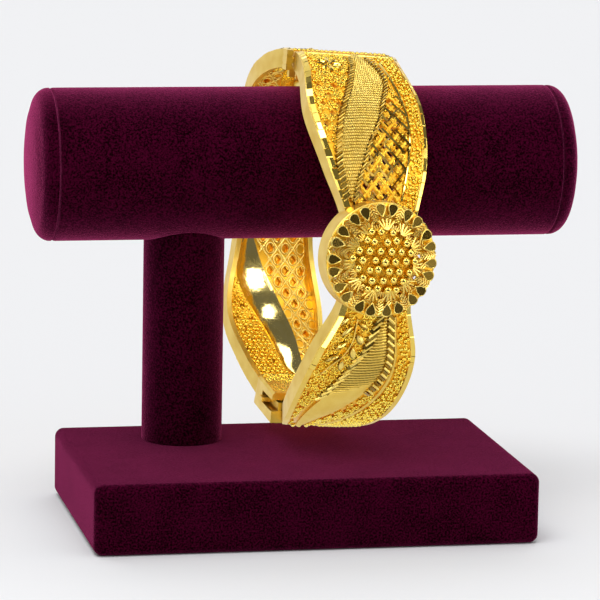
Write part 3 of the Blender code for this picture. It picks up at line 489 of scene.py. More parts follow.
def tube(rings):
    """A tube through rings that have the same number of places, with its ends filled."""
    count, total = len(rings[0]), len(rings)
    faces = [(r * count + i, r * count + (i + 1) % count, (r + 1) * count + (i + 1) % count,
              (r + 1) * count + i) for r in range(total - 1) for i in range(count)]
    faces += [tuple(range(count)), tuple(range((total - 1) * count, total * count))]
    return [p for ring in rings for p in ring], faces


def quads(at):
    """The faces of a grid, from the numbers of its places."""
    return np.stack([at[:-1, :-1], at[:-1, 1:], at[1:, 1:], at[1:, :-1]], -1).reshape(-1, 4).tolist()


def dressed(thing, finishes, body, sharp=None):
    """Give a piece its finish and its body."""
    if sharp:
        thing.data.shade_smooth()
        thing.data.set_sharp_from_angle(angle=math.radians(sharp))
    thing.data.materials.clear()
    for finish in finishes:
        thing.data.materials.append(finish)
    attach(thing, body)
    return thing


class Shape:
    """Gathers closed solids for one piece."""

    def __init__(self):
        self.places, self.faces = [], []

    def rings(self, rings):
        first, (places, faces) = len(self.places), tube(rings)
        self.places += [tuple(p) for p in places]
        self.faces += [tuple(first + i for i in face) for face in faces]

    def thing(self, name):
        return new_object(name, self.places, self.faces)

    def piece(self, name, finish, body, slot="gold", sharp=None):
        return dressed(self.thing(name), (finish,), body, sharp)


print("pieces are carried by", FRONT, "or", BACK)

# %% [markdown]
# ## Mouldings and reliefs
# Two forms come back all over the bangle. A moulding is one profile swept along a path, such as a wire. A
# relief is a patch between two outlines whose height follows a rule, such as a leaf with rows of beads. It
# is made as real height, because the light has to break on it.

# %% Mouldings and reliefs
RELIEF_ROOT = -0.3 * MM


def level(height, inside):
    """A height over the outer face of the plate, or over its inner face."""
    return -PLATE - height if inside else height


def moulding(shape, path, profile, inside=False):
    """Sweep a profile of (aside, height) pairs along a path of (angle, across) places."""
    path = np.asarray(path, float)
    arc = np.radians(path[:, 0]) * ARC
    run = np.stack([np.gradient(arc), np.gradient(path[:, 1])], -1)
    run /= np.linalg.norm(run, axis=1, keepdims=True)
    aside, rise = np.array(profile).T
    shape.rings([seat(angle - np.degrees(aside * du / ARC), u + aside * ds, level(rise, inside))
                 for (angle, u), (ds, du) in zip(path, run)])


def round_wire(radius, lift, sides=6):
    turn = np.linspace(0, 2 * math.pi, sides, endpoint=False)
    return np.stack([radius * np.cos(turn), lift + radius * np.sin(turn)], -1)


def relief(name, rows, zone, counts, height, finish, body, inset=0.0, inside=False, sharp=50, grooves=None):
    """A closed patch between a table's two edges, with a rule of angle, share and across for its height.

    A second rule says where the grooves are, and they get a dark colour that paints their shade."""
    steps, columns = counts
    angle, share = np.meshgrid(np.linspace(*zone, steps), np.linspace(0, 1, columns), indexing="ij")
    left, right = edge(rows, 1, inset)(angle), edge(rows, 2, -inset)(angle)
    across = left + (right - left) * share
    top = seat(angle, across, level(height(angle, share, across), inside)).reshape(-1, 3)
    root = seat(angle, across, level(np.full_like(angle, RELIEF_ROOT), inside)).reshape(-1, 3)
    at = np.arange(steps * columns).reshape(steps, columns)
    loop = np.concatenate([at[0], at[1:, -1], at[-1, -2::-1], at[-2:0:-1, 0]])
    low = {int(i): len(top) + k for k, i in enumerate(loop)}
    faces = quads(at)
    faces += [(int(i), int(j), low[int(j)], low[int(i)]) for i, j in zip(loop, np.roll(loop, -1))]
    for r in range(steps - 1):
        first = [low[int(i)] for i in at[0]] if r == 0 else [low[int(at[r, 0])], low[int(at[r, -1])]]
        last = ([low[int(i)] for i in at[-1][::-1]] if r == steps - 2
                else [low[int(at[r + 1, -1])], low[int(at[r + 1, 0])]])
        faces.append(first + last)
    thing = new_object(name, np.concatenate([top, root[loop]]), faces)
    # The grooves get a dark colour of their own, which is painted shade.
    dressed(thing, (finish, GROOVE_SHADE_GOLD) if grooves else (finish,), body, sharp)
    if grooves:
        middle = [(v[:-1, :-1] + v[1:, 1:]) / 2 for v in (angle, share, across)]
        indices = np.zeros(len(faces), int)
        indices[:middle[0].size] = grooves(*middle).ravel()
        thing.data.polygons.foreach_set("material_index", indices)
    print(name, len(faces), "faces")
    return thing


# %% [markdown]
# ## Copies
# Grains, rings and cuts come in thousands, and all of one kind have the same form. Each is a point with a
# direction, and one Geometry Nodes tree puts a copy on every point. That is much quicker than separate
# objects, and the result is one mesh per piece.

# %% A tree that seats copies
def copies_tree():
    tree = bpy.data.node_groups.new("Seat copies", "GeometryNodeTree")
    for label, kind in (("Marks", "NodeSocketGeometry"), ("Shape", "NodeSocketObject"),
                        ("Size", "NodeSocketFloat"), ("Finish", "NodeSocketMaterial")):
        tree.interface.new_socket(label, in_out="INPUT", socket_type=kind)
    tree.interface.new_socket("Copies", in_out="OUTPUT", socket_type="NodeSocketGeometry")
    start, end = tree.nodes.new("NodeGroupInput"), tree.nodes.new("NodeGroupOutput")

    def attribute(label):
        node = tree.nodes.new("GeometryNodeInputNamedAttribute")
        node.data_type = "FLOAT_VECTOR"
        node.inputs["Name"].default_value = label
        return node.outputs["Attribute"]

    shape = tree.nodes.new("GeometryNodeObjectInfo")
    turn = tree.nodes.new("FunctionNodeAxesToRotation")
    turn.primary_axis, turn.secondary_axis = "Z", "X"
    grow = tree.nodes.new("ShaderNodeVectorMath")
    grow.operation = "SCALE"
    copy = tree.nodes.new("GeometryNodeInstanceOnPoints")
    real = tree.nodes.new("GeometryNodeRealizeInstances")
    paint = tree.nodes.new("GeometryNodeSetMaterial")
    for source, target in (
            (start.outputs["Shape"], shape.inputs["Object"]), (attribute("outward"), turn.inputs[0]),
            (attribute("along"), turn.inputs[1]), (attribute("stretch"), grow.inputs[0]),
            (start.outputs["Size"], grow.inputs["Scale"]), (start.outputs["Marks"], copy.inputs["Points"]),
            (shape.outputs["Geometry"], copy.inputs["Instance"]), (turn.outputs[0], copy.inputs["Rotation"]),
            (grow.outputs["Vector"], copy.inputs["Scale"]), (copy.outputs[0], real.inputs[0]),
            (real.outputs[0], paint.inputs["Geometry"]), (start.outputs["Finish"], paint.inputs["Material"]),
            (paint.outputs[0], end.inputs["Copies"])):
        tree.links.new(source, target)
    return tree


COPIES = copies_tree()
SOCKETS = {item.name: item.identifier for item in COPIES.interface.items_tree if item.in_out == "INPUT"}
print("copies tree:", len(COPIES.nodes), "nodes, inputs", list(SOCKETS))

# %% [markdown]
# A mark says where a copy goes: its place, the way it faces, the way its length points, and how it is
# stretched. The tree's result is written into the mesh, so that the piece is plain geometry.

# %% Marks and pieces of copies
def mark(angle, across, height=0.0, turn=0.0, stretch=(1, 1, 1), inside=False, tilt=0.0):
    """A mark on the band: turned about its outward direction, and tilted about its own length."""
    point, out, run = ring_seat(angle, across, level(height, inside))
    if inside:
        out = -out
    beside = np.cross(out, run)
    spin, lean = math.radians(turn), math.radians(tilt)
    aim = run * math.cos(spin) + beside * math.sin(spin)
    out = out * math.cos(lean) + np.cross(aim, out) * math.sin(lean)
    return to_stand(point), TURN @ out, TURN @ aim, stretch


def copies(name, shape, marks, finish, body):
    """One piece with a copy of a shape on every mark."""
    mesh = bpy.data.meshes.new(name)
    mesh.from_pydata([tuple(m[0]) for m in marks], [], [])
    for part, label in enumerate(("outward", "along", "stretch"), 1):
        layer = mesh.attributes.new(label, "FLOAT_VECTOR", "POINT")
        layer.data.foreach_set("vector", np.array([m[part] for m in marks], np.float32).ravel())
    thing = linked(name, mesh)
    seated = thing.modifiers.new("Seat copies", "NODES")
    seated.node_group = COPIES
    for label, value in (("Shape", shape), ("Size", MM), ("Finish", finish)):
        seated[SOCKETS[label]] = value
    real = bpy.data.meshes.new_from_object(thing.evaluated_get(bpy.context.evaluated_depsgraph_get()))
    thing.modifiers.remove(seated)
    thing.data = real
    bpy.data.meshes.remove(mesh)
    real.name = name
    dressed(thing, (finish,), body)
    print(name, len(marks), "copies,", sum(len(p.vertices) - 2 for p in real.polygons), "triangles")
    return thing


# %% [markdown]
# ## Small shapes
# A few small closed shapes serve for everything: grain, bead and ball, two rings of wire, a bright cut, a
# half-round bar and a pointed leaflet. Each is a unit or two in size, and its mark stretches it in
# millimetres.

# %% Small shapes that get copied
TEMPLATES = []


def template(name, places, faces, smooth=False):
    thing = new_object(name, places, faces)
    if smooth:
        thing.data.shade_smooth()
    TEMPLATES.append(thing)
    return thing


def sphere(name, around, rows):
    places = [(0, 0, 1)]
    for r in range(1, rows):
        a = math.pi * r / rows
        places += [(math.sin(a) * math.cos(b), math.sin(a) * math.sin(b), math.cos(a))
                   for b in np.linspace(0, 2 * math.pi, around, endpoint=False)]
    places.append((0, 0, -1))
    faces = [(0, 1 + i, 1 + (i + 1) % around) for i in range(around)]
    for r in range(rows - 2):
        low = 1 + r * around
        faces += [(low + i, low + around + i, low + around + (i + 1) % around, low + (i + 1) % around)
                  for i in range(around)]
    low, last = 1 + (rows - 2) * around, len(places) - 1
    faces += [(low + i, last, low + (i + 1) % around) for i in range(around)]
    return template(name, places, faces, smooth=True)


def ring_shape(name, thick, around, section):
    places, faces = [], []
    for a in np.linspace(0, 2 * math.pi, around, endpoint=False):
        for b in np.linspace(0, 2 * math.pi, section, endpoint=False):
            r = 1 + thick * math.cos(b)
            places.append((r * math.cos(a), r * math.sin(a), thick * math.sin(b)))
    for i in range(around):
        for k in range(section):
            j, m = (i + 1) % around, (k + 1) % section
            faces.append((i * section + k, j * section + k, j * section + m, i * section + m))
    return template(name, places, faces, smooth=True)


GRAIN, BEAD, BALL = sphere("grain", 6, 4), sphere("bead", 10, 6), sphere("ball", 20, 12)
RING, THIN_RING = ring_shape("ring", 0.36, 10, 5), ring_shape("thin_ring", 0.16, 20, 6)
# A bright cut is 1 long and 1 wide, with one big slanting facet.
CUT = template("cut", [(-0.5, -0.5, -0.5), (0.5, -0.5, -0.5), (0.5, 0.5, -0.5), (-0.5, 0.5, -0.5),
                       (-0.46, -0.5, 0), (0.46, -0.5, 0), (0.38, 0.34, 0.5), (-0.38, 0.34, 0.5)],
               [(0, 3, 2, 1), (0, 1, 5, 4), (1, 2, 6, 5), (2, 3, 7, 6), (3, 0, 4, 7), (4, 5, 6, 7)])
# A bar is 1 long, 1 wide and half round.
half_round = [(0.5 * math.cos(a), 0.5 * math.sin(a)) for a in np.radians((0, 36, 72, 108, 144, 180))]
BAR = template("bar", *tube([[(x, y, z) for y, z in half_round] for x in (-0.5, 0.5)]))
# A leaflet is 1 long, pointed, with a ridge along it.
leaf_outline = [(0.5, 0), (0.3, 0.2), (0.02, 0.27), (-0.28, 0.17), (-0.5, 0), (-0.28, -0.17),
                (0.02, -0.27), (0.3, -0.2)]
LEAFLET = template(
    "leaflet", [(x, y, z) for z in (-0.15, 0.02) for x, y in leaf_outline]
    + [(0.2, 0, 0.14), (-0.25, 0, 0.12)],
    [tuple(range(8))] + [(i, (i + 1) % 8, 8 + (i + 1) % 8, 8 + i) for i in range(8)]
    + [(8, 9, 16), (9, 10, 16), (10, 11, 17, 16), (11, 12, 17), (12, 13, 17), (13, 14, 16, 17), (14, 15, 16),
       (15, 8, 16)])
print("shapes:", [t.name for t in TEMPLATES])

# %% [markdown]
# ## The bands
# Each half is a thin plate with a deep wall along both edges, and real holes are cut through the plate. The
# flat drawing is cut first with a Boolean and bent afterwards, because a flat cut is clean.

# %% Cut and bend a band
def flat(angle, across, height=0.0):
    return (across, math.radians(angle) * ARC, height)


def cut_out(target, tool):
    cutter = target.modifiers.new("cut", "BOOLEAN")
    cutter.operation, cutter.solver, cutter.object = "DIFFERENCE", "EXACT", tool
    result = bpy.data.meshes.new_from_object(target.evaluated_get(bpy.context.evaluated_depsgraph_get()))
    target.modifiers.remove(cutter)
    target.data = result
    bpy.data.objects.remove(tool)


CHANNEL_STEP, RIM = 1.5, 0.2 * MM


def channel(edges, start, end):
    """A flat band with a deep wall along each edge."""
    shape, rings = Shape(), []
    for angle in np.linspace(start, end, int((end - start) / CHANNEL_STEP) + 1):
        left, right = float(curve(edges, angle)), float(curve(edges, angle, 2))
        outline = ((left, -BAND_DEPTH), (left, RIM), (left + WALL, RIM), (left + WALL, 0), (right - WALL, 0),
                   (right - WALL, RIM), (right, RIM), (right, -BAND_DEPTH), (right - WALL, -BAND_DEPTH),
                   (right - WALL, -PLATE), (left + WALL, -PLATE), (left + WALL, -BAND_DEPTH))
        rings.append([flat(angle, u, h) for u, h in outline])
    shape.rings(rings)
    return shape.thing("channel")


def bend(thing, name, body):
    """Lay a flat piece on the oval, with cast gold on the plate and satin gold on the walls."""
    work = bmesh.new()
    work.from_mesh(thing.data)
    bmesh.ops.triangulate(work, faces=work.faces)
    for f in work.faces:
        f.material_index = int(all(-PLATE * 1.01 < v.co.z < 0.01 * MM for v in f.verts))
    places = np.array([v.co for v in work.verts])
    for v, p in zip(work.verts, seat(np.degrees(places[:, 1] / ARC), places[:, 0], places[:, 2])):
        v.co = p
    bmesh.ops.reverse_faces(work, faces=work.faces)
    work.to_mesh(thing.data)
    work.free()
    thing.name = thing.data.name = name
    indices = [p.material_index for p in thing.data.polygons]
    dressed(thing, (SATIN_GOLD, CAST_BOUNCE_GOLD), body, sharp=30)
    thing.data.polygons.foreach_set("material_index", indices)
    return thing


print("a band is cut flat, then bent on the oval")

# %% [markdown]
# ## The openings
# The lattice, the fields and the net are pierced with small diamonds in staggered rows. Their places come
# from one rule between two outlines, so they follow the leaves, and they agree with the solid underneath.

# %% Places of the openings
LATTICE_HOLE, FIELD_HOLE, HOLE_MARGIN, HOLE_STRETCH = 0.66 * MM, 0.55 * MM, 1.06 * MM, 1.25
LATTICE_STEP, NET_STEP, FIELD_STEP = (2.9 * MM, 2.4 * MM), (4.0 * MM, 3.0 * MM), (4.4 * MM, 2.9 * MM)


def hole_sites(zone, left, right, step, margin=HOLE_MARGIN):
    """Staggered places between two edges, as in the solid under this dress."""
    (along, aside), sites, row, place = step, [], 0, math.radians(zone[0]) * ARC
    while place < math.radians(zone[1]) * ARC:
        angle = math.degrees(place / ARC)
        shift = (row % 2) / 2
        first = math.ceil((left(angle) + margin) / aside - shift)
        last = math.floor((right(angle) - margin) / aside - shift)
        sites += [(angle, (i + shift) * aside) for i in range(first, last + 1)]
        place += along / 2
        row += 1
    return sites


def all_sites(step, *zones):
    return [site for zone in zones for site in hole_sites(*zone, step)]


upper_line_edge, lower_line_edge = edge(UPPER_LINE, 1, -0.28 * MM), edge(LOWER_LINE, 1, -0.28 * MM)
front_left = edge(FRONT_EDGES, 1, WALL)
back_left, back_right = edge(BACK_EDGES, 1, WALL), edge(BACK_EDGES, 2, -WALL)
lattice_sites = all_sites(LATTICE_STEP, ((34, 74), edge(UPPER_LEAF, 2), upper_line_edge))
field_sites = all_sites(FIELD_STEP, ((30, 60), front_left, edge(UPPER_LEAF)),
                        ((136, 168), edge(LOWER_LEAF, 2), lower_line_edge),
                        ((134, 166), front_left, edge(LOWER_LEAF)))
net_sites = all_sites(NET_STEP, ((213, 268), edge(BACK_LEAF, 2), back_right),
                      ((282, 332), back_left, edge(BACK_UPPER_LEAF)))
back_sites = all_sites(FIELD_STEP, ((213, 246), back_left, edge(BACK_LEAF)),
                       ((310, 352), edge(BACK_UPPER_LEAF, 2), back_right))
FRONT_HOLES = ((lattice_sites, LATTICE_HOLE), (field_sites, FIELD_HOLE))
BACK_HOLES = ((net_sites, LATTICE_HOLE), (back_sites, FIELD_HOLE))
print("holes:", len(lattice_sites + field_sites), "in front,", len(net_sites + back_sites), "behind")

# %% [markdown]
# Both halves stop a little short of each other: at the hinge for the knuckles, and at the clasp for the box.

# %% The two halves
HINGE_GAP, FRONT_END, BACK_START = 1.8 * MM, 179.57, 180.95


def diamonds(groups):
    """Cutters for every opening of one half."""
    shape = Shape()
    for sites, size in groups:
        for angle, across in sites:
            x, y, _ = flat(angle, across)
            shape.rings([[(x + size * a, y + size * HOLE_STRETCH * b, h)
                          for a, b in ((-1, 0), (0, 1), (1, 0), (0, -1))] for h in (-2 * PLATE, PLATE)])
    return shape.thing("holes")


front_start = math.degrees(math.asin(HINGE_GAP / FRONT_REACH))
back_end = 360 - math.degrees(math.asin(HINGE_GAP / BACK_REACH))
front = channel(FRONT_EDGES, front_start, FRONT_END)
cut_out(front, diamonds(FRONT_HOLES))
front_body = bend(front, "front_half_body", FRONT)
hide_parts("front_band")
back = channel(BACK_EDGES, BACK_START, back_end)
cut_out(back, diamonds(BACK_HOLES))
back_body = bend(back, "back_half_body", BACK)
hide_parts("back_band")
print("faces:", len(front_body.data.polygons), "in front,", len(back_body.data.polygons), "behind")

# %% [markdown]
# ## Hinge
# Five knuckles share one pin. The front half owns three, the back half two, and each is tied to its half by a
# thin web. A wall closes both halves at the hinge, and the front half at the clasp, so that the metal looks
# thick there.

# %% Knuckles and end walls
KNUCKLE_LEFT, KNUCKLE_RIGHT = -0.89 * HALF_WIDTH, 0.88 * HALF_WIDTH
WEB_REACH, WEB_HALF = 2.1 * MM, 0.8 * MM
HINGE_WALL, CLASP_WALL = 4.7 * MM, 4.2 * MM
knuckle = (KNUCKLE_RIGHT - KNUCKLE_LEFT) / 5


def round_bar(shape, radius, start, end, ends=0.1 * MM, sides=24, lift=0.0, ahead=0.0):
    turn = np.linspace(0, 2 * math.pi, sides, endpoint=False)
    shape.rings([to_stand(np.stack([np.full(sides, x), ahead + r * np.cos(turn),
                                    HINGE_DROP + lift + r * np.sin(turn)], -1))
                 for x, r in ((start, radius - ends), (start + ends, radius), (end - ends, radius),
                              (end, radius - ends))])


def box_solid(shape, low, high):
    corners = ((low[0], low[1]), (high[0], low[1]), (high[0], high[1]), (low[0], high[1]))
    shape.rings([to_stand([(x, y, HINGE_DROP + z) for x, y in corners]) for z in (low[2], high[2])])


def end_wall(shape, edges, start, depth):
    rings = []
    for angle in (start, start + math.degrees(WALL / (OVAL_HEIGHT / 2))):
        left, right = float(curve(edges, angle)) + WALL / 2, float(curve(edges, angle, 2)) - WALL / 2
        rings.append(seat(angle, [left, left, right, right], [-depth, -PLATE / 2, -PLATE / 2, -depth]))
    shape.rings(rings)


for body, owned, sign, name in ((FRONT, (0, 2, 4), -1, "front_hinge"), (BACK, (1, 3), 1, "back_hinge")):
    shape = Shape()
    for i in owned:
        start = KNUCKLE_LEFT + i * knuckle + 0.15 * MM
        stop = start + knuckle - 0.3 * MM
        round_bar(shape, BARREL, start, stop)
        reach = sign * WEB_REACH
        box_solid(shape, (start, min(0, reach), -WEB_HALF), (stop, max(0, reach), WEB_HALF))
    if body == FRONT:
        end_wall(shape, FRONT_EDGES, front_start + 0.26, HINGE_WALL)
        end_wall(shape, FRONT_EDGES, 177.8, CLASP_WALL)
    else:
        end_wall(shape, BACK_EDGES, back_end - 1.8, HINGE_WALL)
    shape.piece(name, SATIN_GOLD, body, sharp=30)
print("knuckles:", round(knuckle / MM, 2), "mm wide each")

# %% [markdown]
# The pin ends in a grooved block on the left and a round knob on the right. A thin rod lies along the front
# half's edge, and two rows of beads finish the back half's.

# %% Pin, rod and beads
rod = Shape()
round_bar(rod, 0.36 * MM, KNUCKLE_LEFT + 0.6 * MM, KNUCKLE_RIGHT - 0.4 * MM, sides=12, lift=1.42 * MM,
          ahead=-1.75 * MM)
rod.piece("hinge_rod", BRIGHT_GOLD, FRONT, sharp=40)
pin = Shape()
round_bar(pin, 0.6 * MM, KNUCKLE_LEFT - 1.0 * MM, KNUCKLE_RIGHT + 0.4 * MM)
round_bar(pin, 1.1 * MM, KNUCKLE_RIGHT + 0.3 * MM, KNUCKLE_RIGHT + 1.0 * MM, ends=0.3 * MM)
for low, high in ((-1.8, -0.95), (-0.5, 0.5), (0.95, 1.8)):
    box_solid(pin, (KNUCKLE_LEFT - 1.5 * MM, -1.3 * MM, low * MM),
              (KNUCKLE_LEFT - 0.3 * MM, 1.05 * MM, high * MM))
box_solid(pin, (KNUCKLE_LEFT - 1.4 * MM, -0.9 * MM, -1.7 * MM),
          (KNUCKLE_LEFT - 0.35 * MM, 0.95 * MM, 1.7 * MM))
copies("hinge_beads", BEAD, [
    mark(back_end - 0.6 - 1.9 * row, (i + row / 2) * 0.84 * MM, 0.12 * MM, 0, (0.37, 0.37, 0.37))
    for row in (0, 1) for i in range(-10, 11)], BRIGHT_GOLD, BACK)
hinge_pin = pin.piece("hinge_pin_block", SATIN_GOLD, FRONT, "clasp_gold", sharp=30)
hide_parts("hinge_pin")

# %% [markdown]
# ## Clasp
# A shallow round-ended box is soldered under the back half's end. The tongue slides into its slot, and the
# thumb tab stands in the notch at its left side. The box is cut flat and bent, like the bands.

# %% Clasp box and tongue
BOX_CORNER, BOX_HALF, BOX_DEPTH, BOX_LIP = 2.2 * MM, 7.4 * MM, 4.9 * MM, 0.6 * MM
SLOT_LEFT, SLOT_START, SLOT_HEIGHTS = -11 * MM, 178.5, (-3.6 * MM, -1.5 * MM)


def flat_rings(rings):
    shape = Shape()
    shape.rings(rings)
    return shape.thing("flat")


def round_box(shrink, start, end):
    """The box, or the smaller hollow in it, with its far end rounded."""
    rings, cut = [], WALL / 2
    top = BOX_LIP if shrink == 0 else -PLATE
    for place in [0.0] + [end - start - BOX_CORNER * (1 - math.sin(math.radians(t)))
                          for t in np.linspace(0, 82, 9)]:
        beyond = max(0.0, place - (end - start - BOX_CORNER))
        off = BOX_CORNER - math.sqrt(max(0.0, BOX_CORNER**2 - beyond**2))
        half, depth = BOX_HALF - shrink - off, BOX_DEPTH - shrink - off * 0.6
        outline = ((-half, cut - depth), (-half, top), (half, top), (half, cut - depth), (half - cut, -depth),
                   (cut - half, -depth))
        angle = 180 + math.degrees((start + place) / (OVAL_HEIGHT / 2))
        rings.append([flat(angle, u, h) for u, h in outline])
    return flat_rings(rings)


box = round_box(0, 0.25 * MM, 12.5 * MM)
cut_out(box, round_box(0.8 * MM, 1.05 * MM, 11.7 * MM))
for slot_right, slot_end in ((3.8 * MM, 182.8), (-5.8 * MM, 180 + 11.9)):
    corners = [(u, h) for u, heights in ((SLOT_LEFT, SLOT_HEIGHTS), (slot_right, SLOT_HEIGHTS[::-1]))
               for h in heights]
    cut_out(box, flat_rings([[flat(a, u, h) for u, h in corners] for a in (SLOT_START, slot_end)]))
clasp_box = bend(box, "clasp_box", BACK)
for slot in frame["nodes"]["clasp_tongue"].material_slots:
    slot.material = SATIN_GOLD
print("clasp box:", len(clasp_box.data.polygons), "triangles")

# %% [markdown]
# The face of the box that looks into the ring is strewn with small nuggets of gold, each a little off its
# place and of its own size.

# %% Nuggets on the box
nuggets, draw = [], np.random.default_rng(71)
for angle in np.arange(184.0, 199.6, 1.25):
    for across in np.arange(-6.3, 6.4, 0.72):
        size = draw.uniform(0.26, 0.46)
        nuggets.append(mark(angle + draw.normal(0, 0.25), (across + draw.normal(0, 0.10)) * MM,
                            4.0 * MM, 0, (size, size, size), True))
copies("clasp_nuggets", BEAD, nuggets, BEAD_GOLD, BACK)

# %% [markdown]
# ## Bright-cut edges
# A diamond tool turns small mirror facets along the rims. Each facet leans its own way, so some are dark
# and one now and then flashes white. Along the lower half the tool has left long smooth stretches.

# %% Rims
RIM_ROOT, RIM_RISE, RIM_OUT, NICK, WOBBLE = 0.05 * MM, 0.34 * MM, 0.01 * MM, 0.09 * MM, 0.12


def bright_cuts(shape, edges, column, zone, width, length, seed, lean):
    """One tilted facet after another along an edge."""
    draw = np.random.default_rng(seed)
    sign = 1 if column == 1 else -1
    place, stop = math.radians(zone[0]) * ARC, math.radians(zone[1]) * ARC
    while place < stop - 0.2 * length:
        reach = min(length * draw.uniform(0.8, 1.2), stop - place)
        high_out = RIM_RISE + (draw.uniform(-WOBBLE, WOBBLE) - lean) * MM
        high_in = RIM_RISE + (draw.uniform(-WOBBLE, WOBBLE) + lean) * MM
        rings = []
        for shift, drop in ((0, NICK), (NICK / reach, 0), (1 - NICK / reach, 0), (1, NICK)):
            angle = math.degrees((place + reach * shift) / ARC)
            outer = float(curve(edges, angle, column)) + sign * RIM_OUT
            inner = outer + sign * width
            rings.append(seat(angle, [outer, outer, inner, inner],
                              [RIM_ROOT, high_out - drop, high_in - drop, RIM_ROOT]))
        shape.rings(rings)
        place += reach


rims = Shape()
for column, zone, width, length, seed, lean in (
        (1, (5, 77), 1.10, 1.7, 11, 0.22), (2, (5, 78), 0.66, 2.2, 12, 0.12),
        (1, (100, 126), 1.0, 3.0, 13, 0.22), (2, (98, 122), 0.80, 3.4, 14, 0.10)):
    bright_cuts(rims, FRONT_EDGES, column, zone, width * MM, length * MM, seed, lean)
rims.piece("front_bright_rims", BRIGHT_GOLD, FRONT)
plain, plain_width = Shape(), 0.95 * MM
for column, low, sign in ((1, 126, 1), (2, 122, -1)):
    angles = np.linspace(low, 179, 30)
    outer = curve(FRONT_EDGES, angles, column)
    plain.rings([seat(a, [o, o, o + sign * plain_width, o + sign * plain_width],
                      [RIM_ROOT, 0.26 * MM, 0.38 * MM, RIM_ROOT]) for a, o in zip(angles, outer)])
plain.piece("front_plain_rims", SATIN_GOLD, FRONT, sharp=30)
rims = Shape()
for column, seed in ((1, 15), (2, 16)):
    bright_cuts(rims, BACK_EDGES, column, (196, 355), 0.8 * MM, 2.4 * MM, seed, 0.14)
rims.piece("back_bright_rims", BRIGHT_GOLD, BACK)
print("facets on the back rims:", len(rims.places) // 16)

# %% [markdown]
# ## Leaves
# The upper front leaf is rolled all over with rows of tiny beads. The lower one has milled lines that run out
# into plain satin, and the two on the back half are polished like mirrors on their inner side. Each surface
# is a rule for its height, with a second rule for the grooves, which get a dark colour as painted shade.

# %% Rules for the leaves
ROW_PITCH, BEAD_PITCH, FINE_PITCH = 0.56 * MM, 0.40 * MM, 0.42 * MM


def crown(share, rise):
    return rise * (1 - (2 * share - 1) ** 2)


def arc_place(angle, across, slope):
    return np.radians(angle) * ARC + slope * across


def bead_waves(angle, across):
    """A wave along the leaf and one across it. Every second row is shifted by half a bead."""
    along = arc_place(angle, across, 0.06) / ROW_PITCH
    return (np.abs(np.sin(np.pi * along)),
            np.abs(np.sin(np.pi * (across / BEAD_PITCH + 0.5 * np.floor(along)))))


def beaded(angle, share, across):
    row, bead = bead_waves(angle, across)
    return 0.22 * MM + crown(share, 0.26 * MM) + 0.26 * MM * row**0.8 * (0.35 + 0.65 * bead**0.7)


def between_beads(angle, share, across):
    row, bead = bead_waves(angle, across)
    return (row < 0.42) | (bead < 0.25)


def milled_rows(angle, share, across):
    """How near the middle of a groove a place is, and how far the grooves have run out."""
    along = arc_place(angle, across, 0.10) / ROW_PITCH
    return np.abs(((along % 1.0) - 0.5) * 2), (angle - 131) / 5 + 1.3 * (share - 0.5)


def milled(angle, share, across):
    groove, fade = milled_rows(angle, share, across)
    fade = np.clip(fade, 0, 1)
    fine = arc_place(angle, across, 0.9) / FINE_PITCH
    return (0.34 * MM + crown(share, 0.26 * MM) - 0.17 * MM * (1 - fade) * np.clip(1.7 * groove - 0.5, 0, 1)
            - 0.05 * MM * fade * np.abs(np.sin(np.pi * fine)))


def milled_lines(angle, share, across):
    groove, fade = milled_rows(angle, share, across)
    return (groove > 0.62) & (fade < 0.6)


def smooth(angle, share, across):
    return 0.20 * MM + crown(share, 0.12 * MM)


print("beads", round(BEAD_PITCH / MM, 2), "mm apart in rows", round(ROW_PITCH / MM, 2), "mm apart")

# %% [markdown]
# The back half's outer leaves follow the rules of the front ones, and the milled rule is turned round the
# oval to suit.

# %% Beaded, milled and mirror leaves
BACK_TURN, BACK_ZONE, BACK_UPPER_ZONE = 130, (208, 265), (272, 352)
relief("upper_beaded_leaf", UPPER_LEAF, (6.4, 71.8), (500, 110), beaded, MILLED_GOLD, FRONT, inset=0.1 * MM,
       grooves=between_beads)
relief("lower_milled_leaf", LOWER_LEAF, (105, 170), (520, 60), milled, SATIN_GOLD, FRONT, sharp=35,
       grooves=milled_lines)
relief("back_inner_mirror_leaf", BACK_LEAF, BACK_ZONE, (60, 12), smooth, MIRROR_GOLD, BACK, inside=True)
relief("back_inner_upper_leaf", BACK_UPPER_LEAF, BACK_UPPER_ZONE, (60, 12), smooth, MIRROR_GOLD, BACK,
       inside=True)
relief("back_outer_leaf", BACK_LEAF, BACK_ZONE, (380, 40),
       lambda a, s, u: milled(a - BACK_TURN, s, u) + 0.05 * MM, SATIN_GOLD, BACK, sharp=35,
       grooves=lambda a, s, u: milled_lines(a - BACK_TURN, s, u))
relief("back_outer_upper_leaf", BACK_UPPER_LEAF, BACK_UPPER_ZONE, (430, 60), beaded, MILLED_GOLD, BACK,
       grooves=between_beads)

# %% [markdown]
# ## Cuts along the leaves
# Both edges of a leaf are cut slantwise, one cut beside the next. On the front, pale ridges stand between
# cuts painted dark as shade, which gives the rope-like edge of the real leaf.

# %% Slanting cuts
def chevrons(zone, rows, column, pitch, size, turn, seed, away, height, shift=0.0):
    """Slanting marks along one edge of a leaf. Pitch, size, away and height are in millimetres."""
    draw = np.random.default_rng(seed)
    step = math.degrees(pitch * MM / ARC)
    return [mark(angle, float(curve(rows, angle, column)) + away * MM, height * MM, turn,
                 (size[0] * draw.uniform(0.92, 1.08), size[1], size[2]), tilt=draw.uniform(-10, 10))
            for angle in np.arange(zone[0] + shift * step, zone[1], step)]


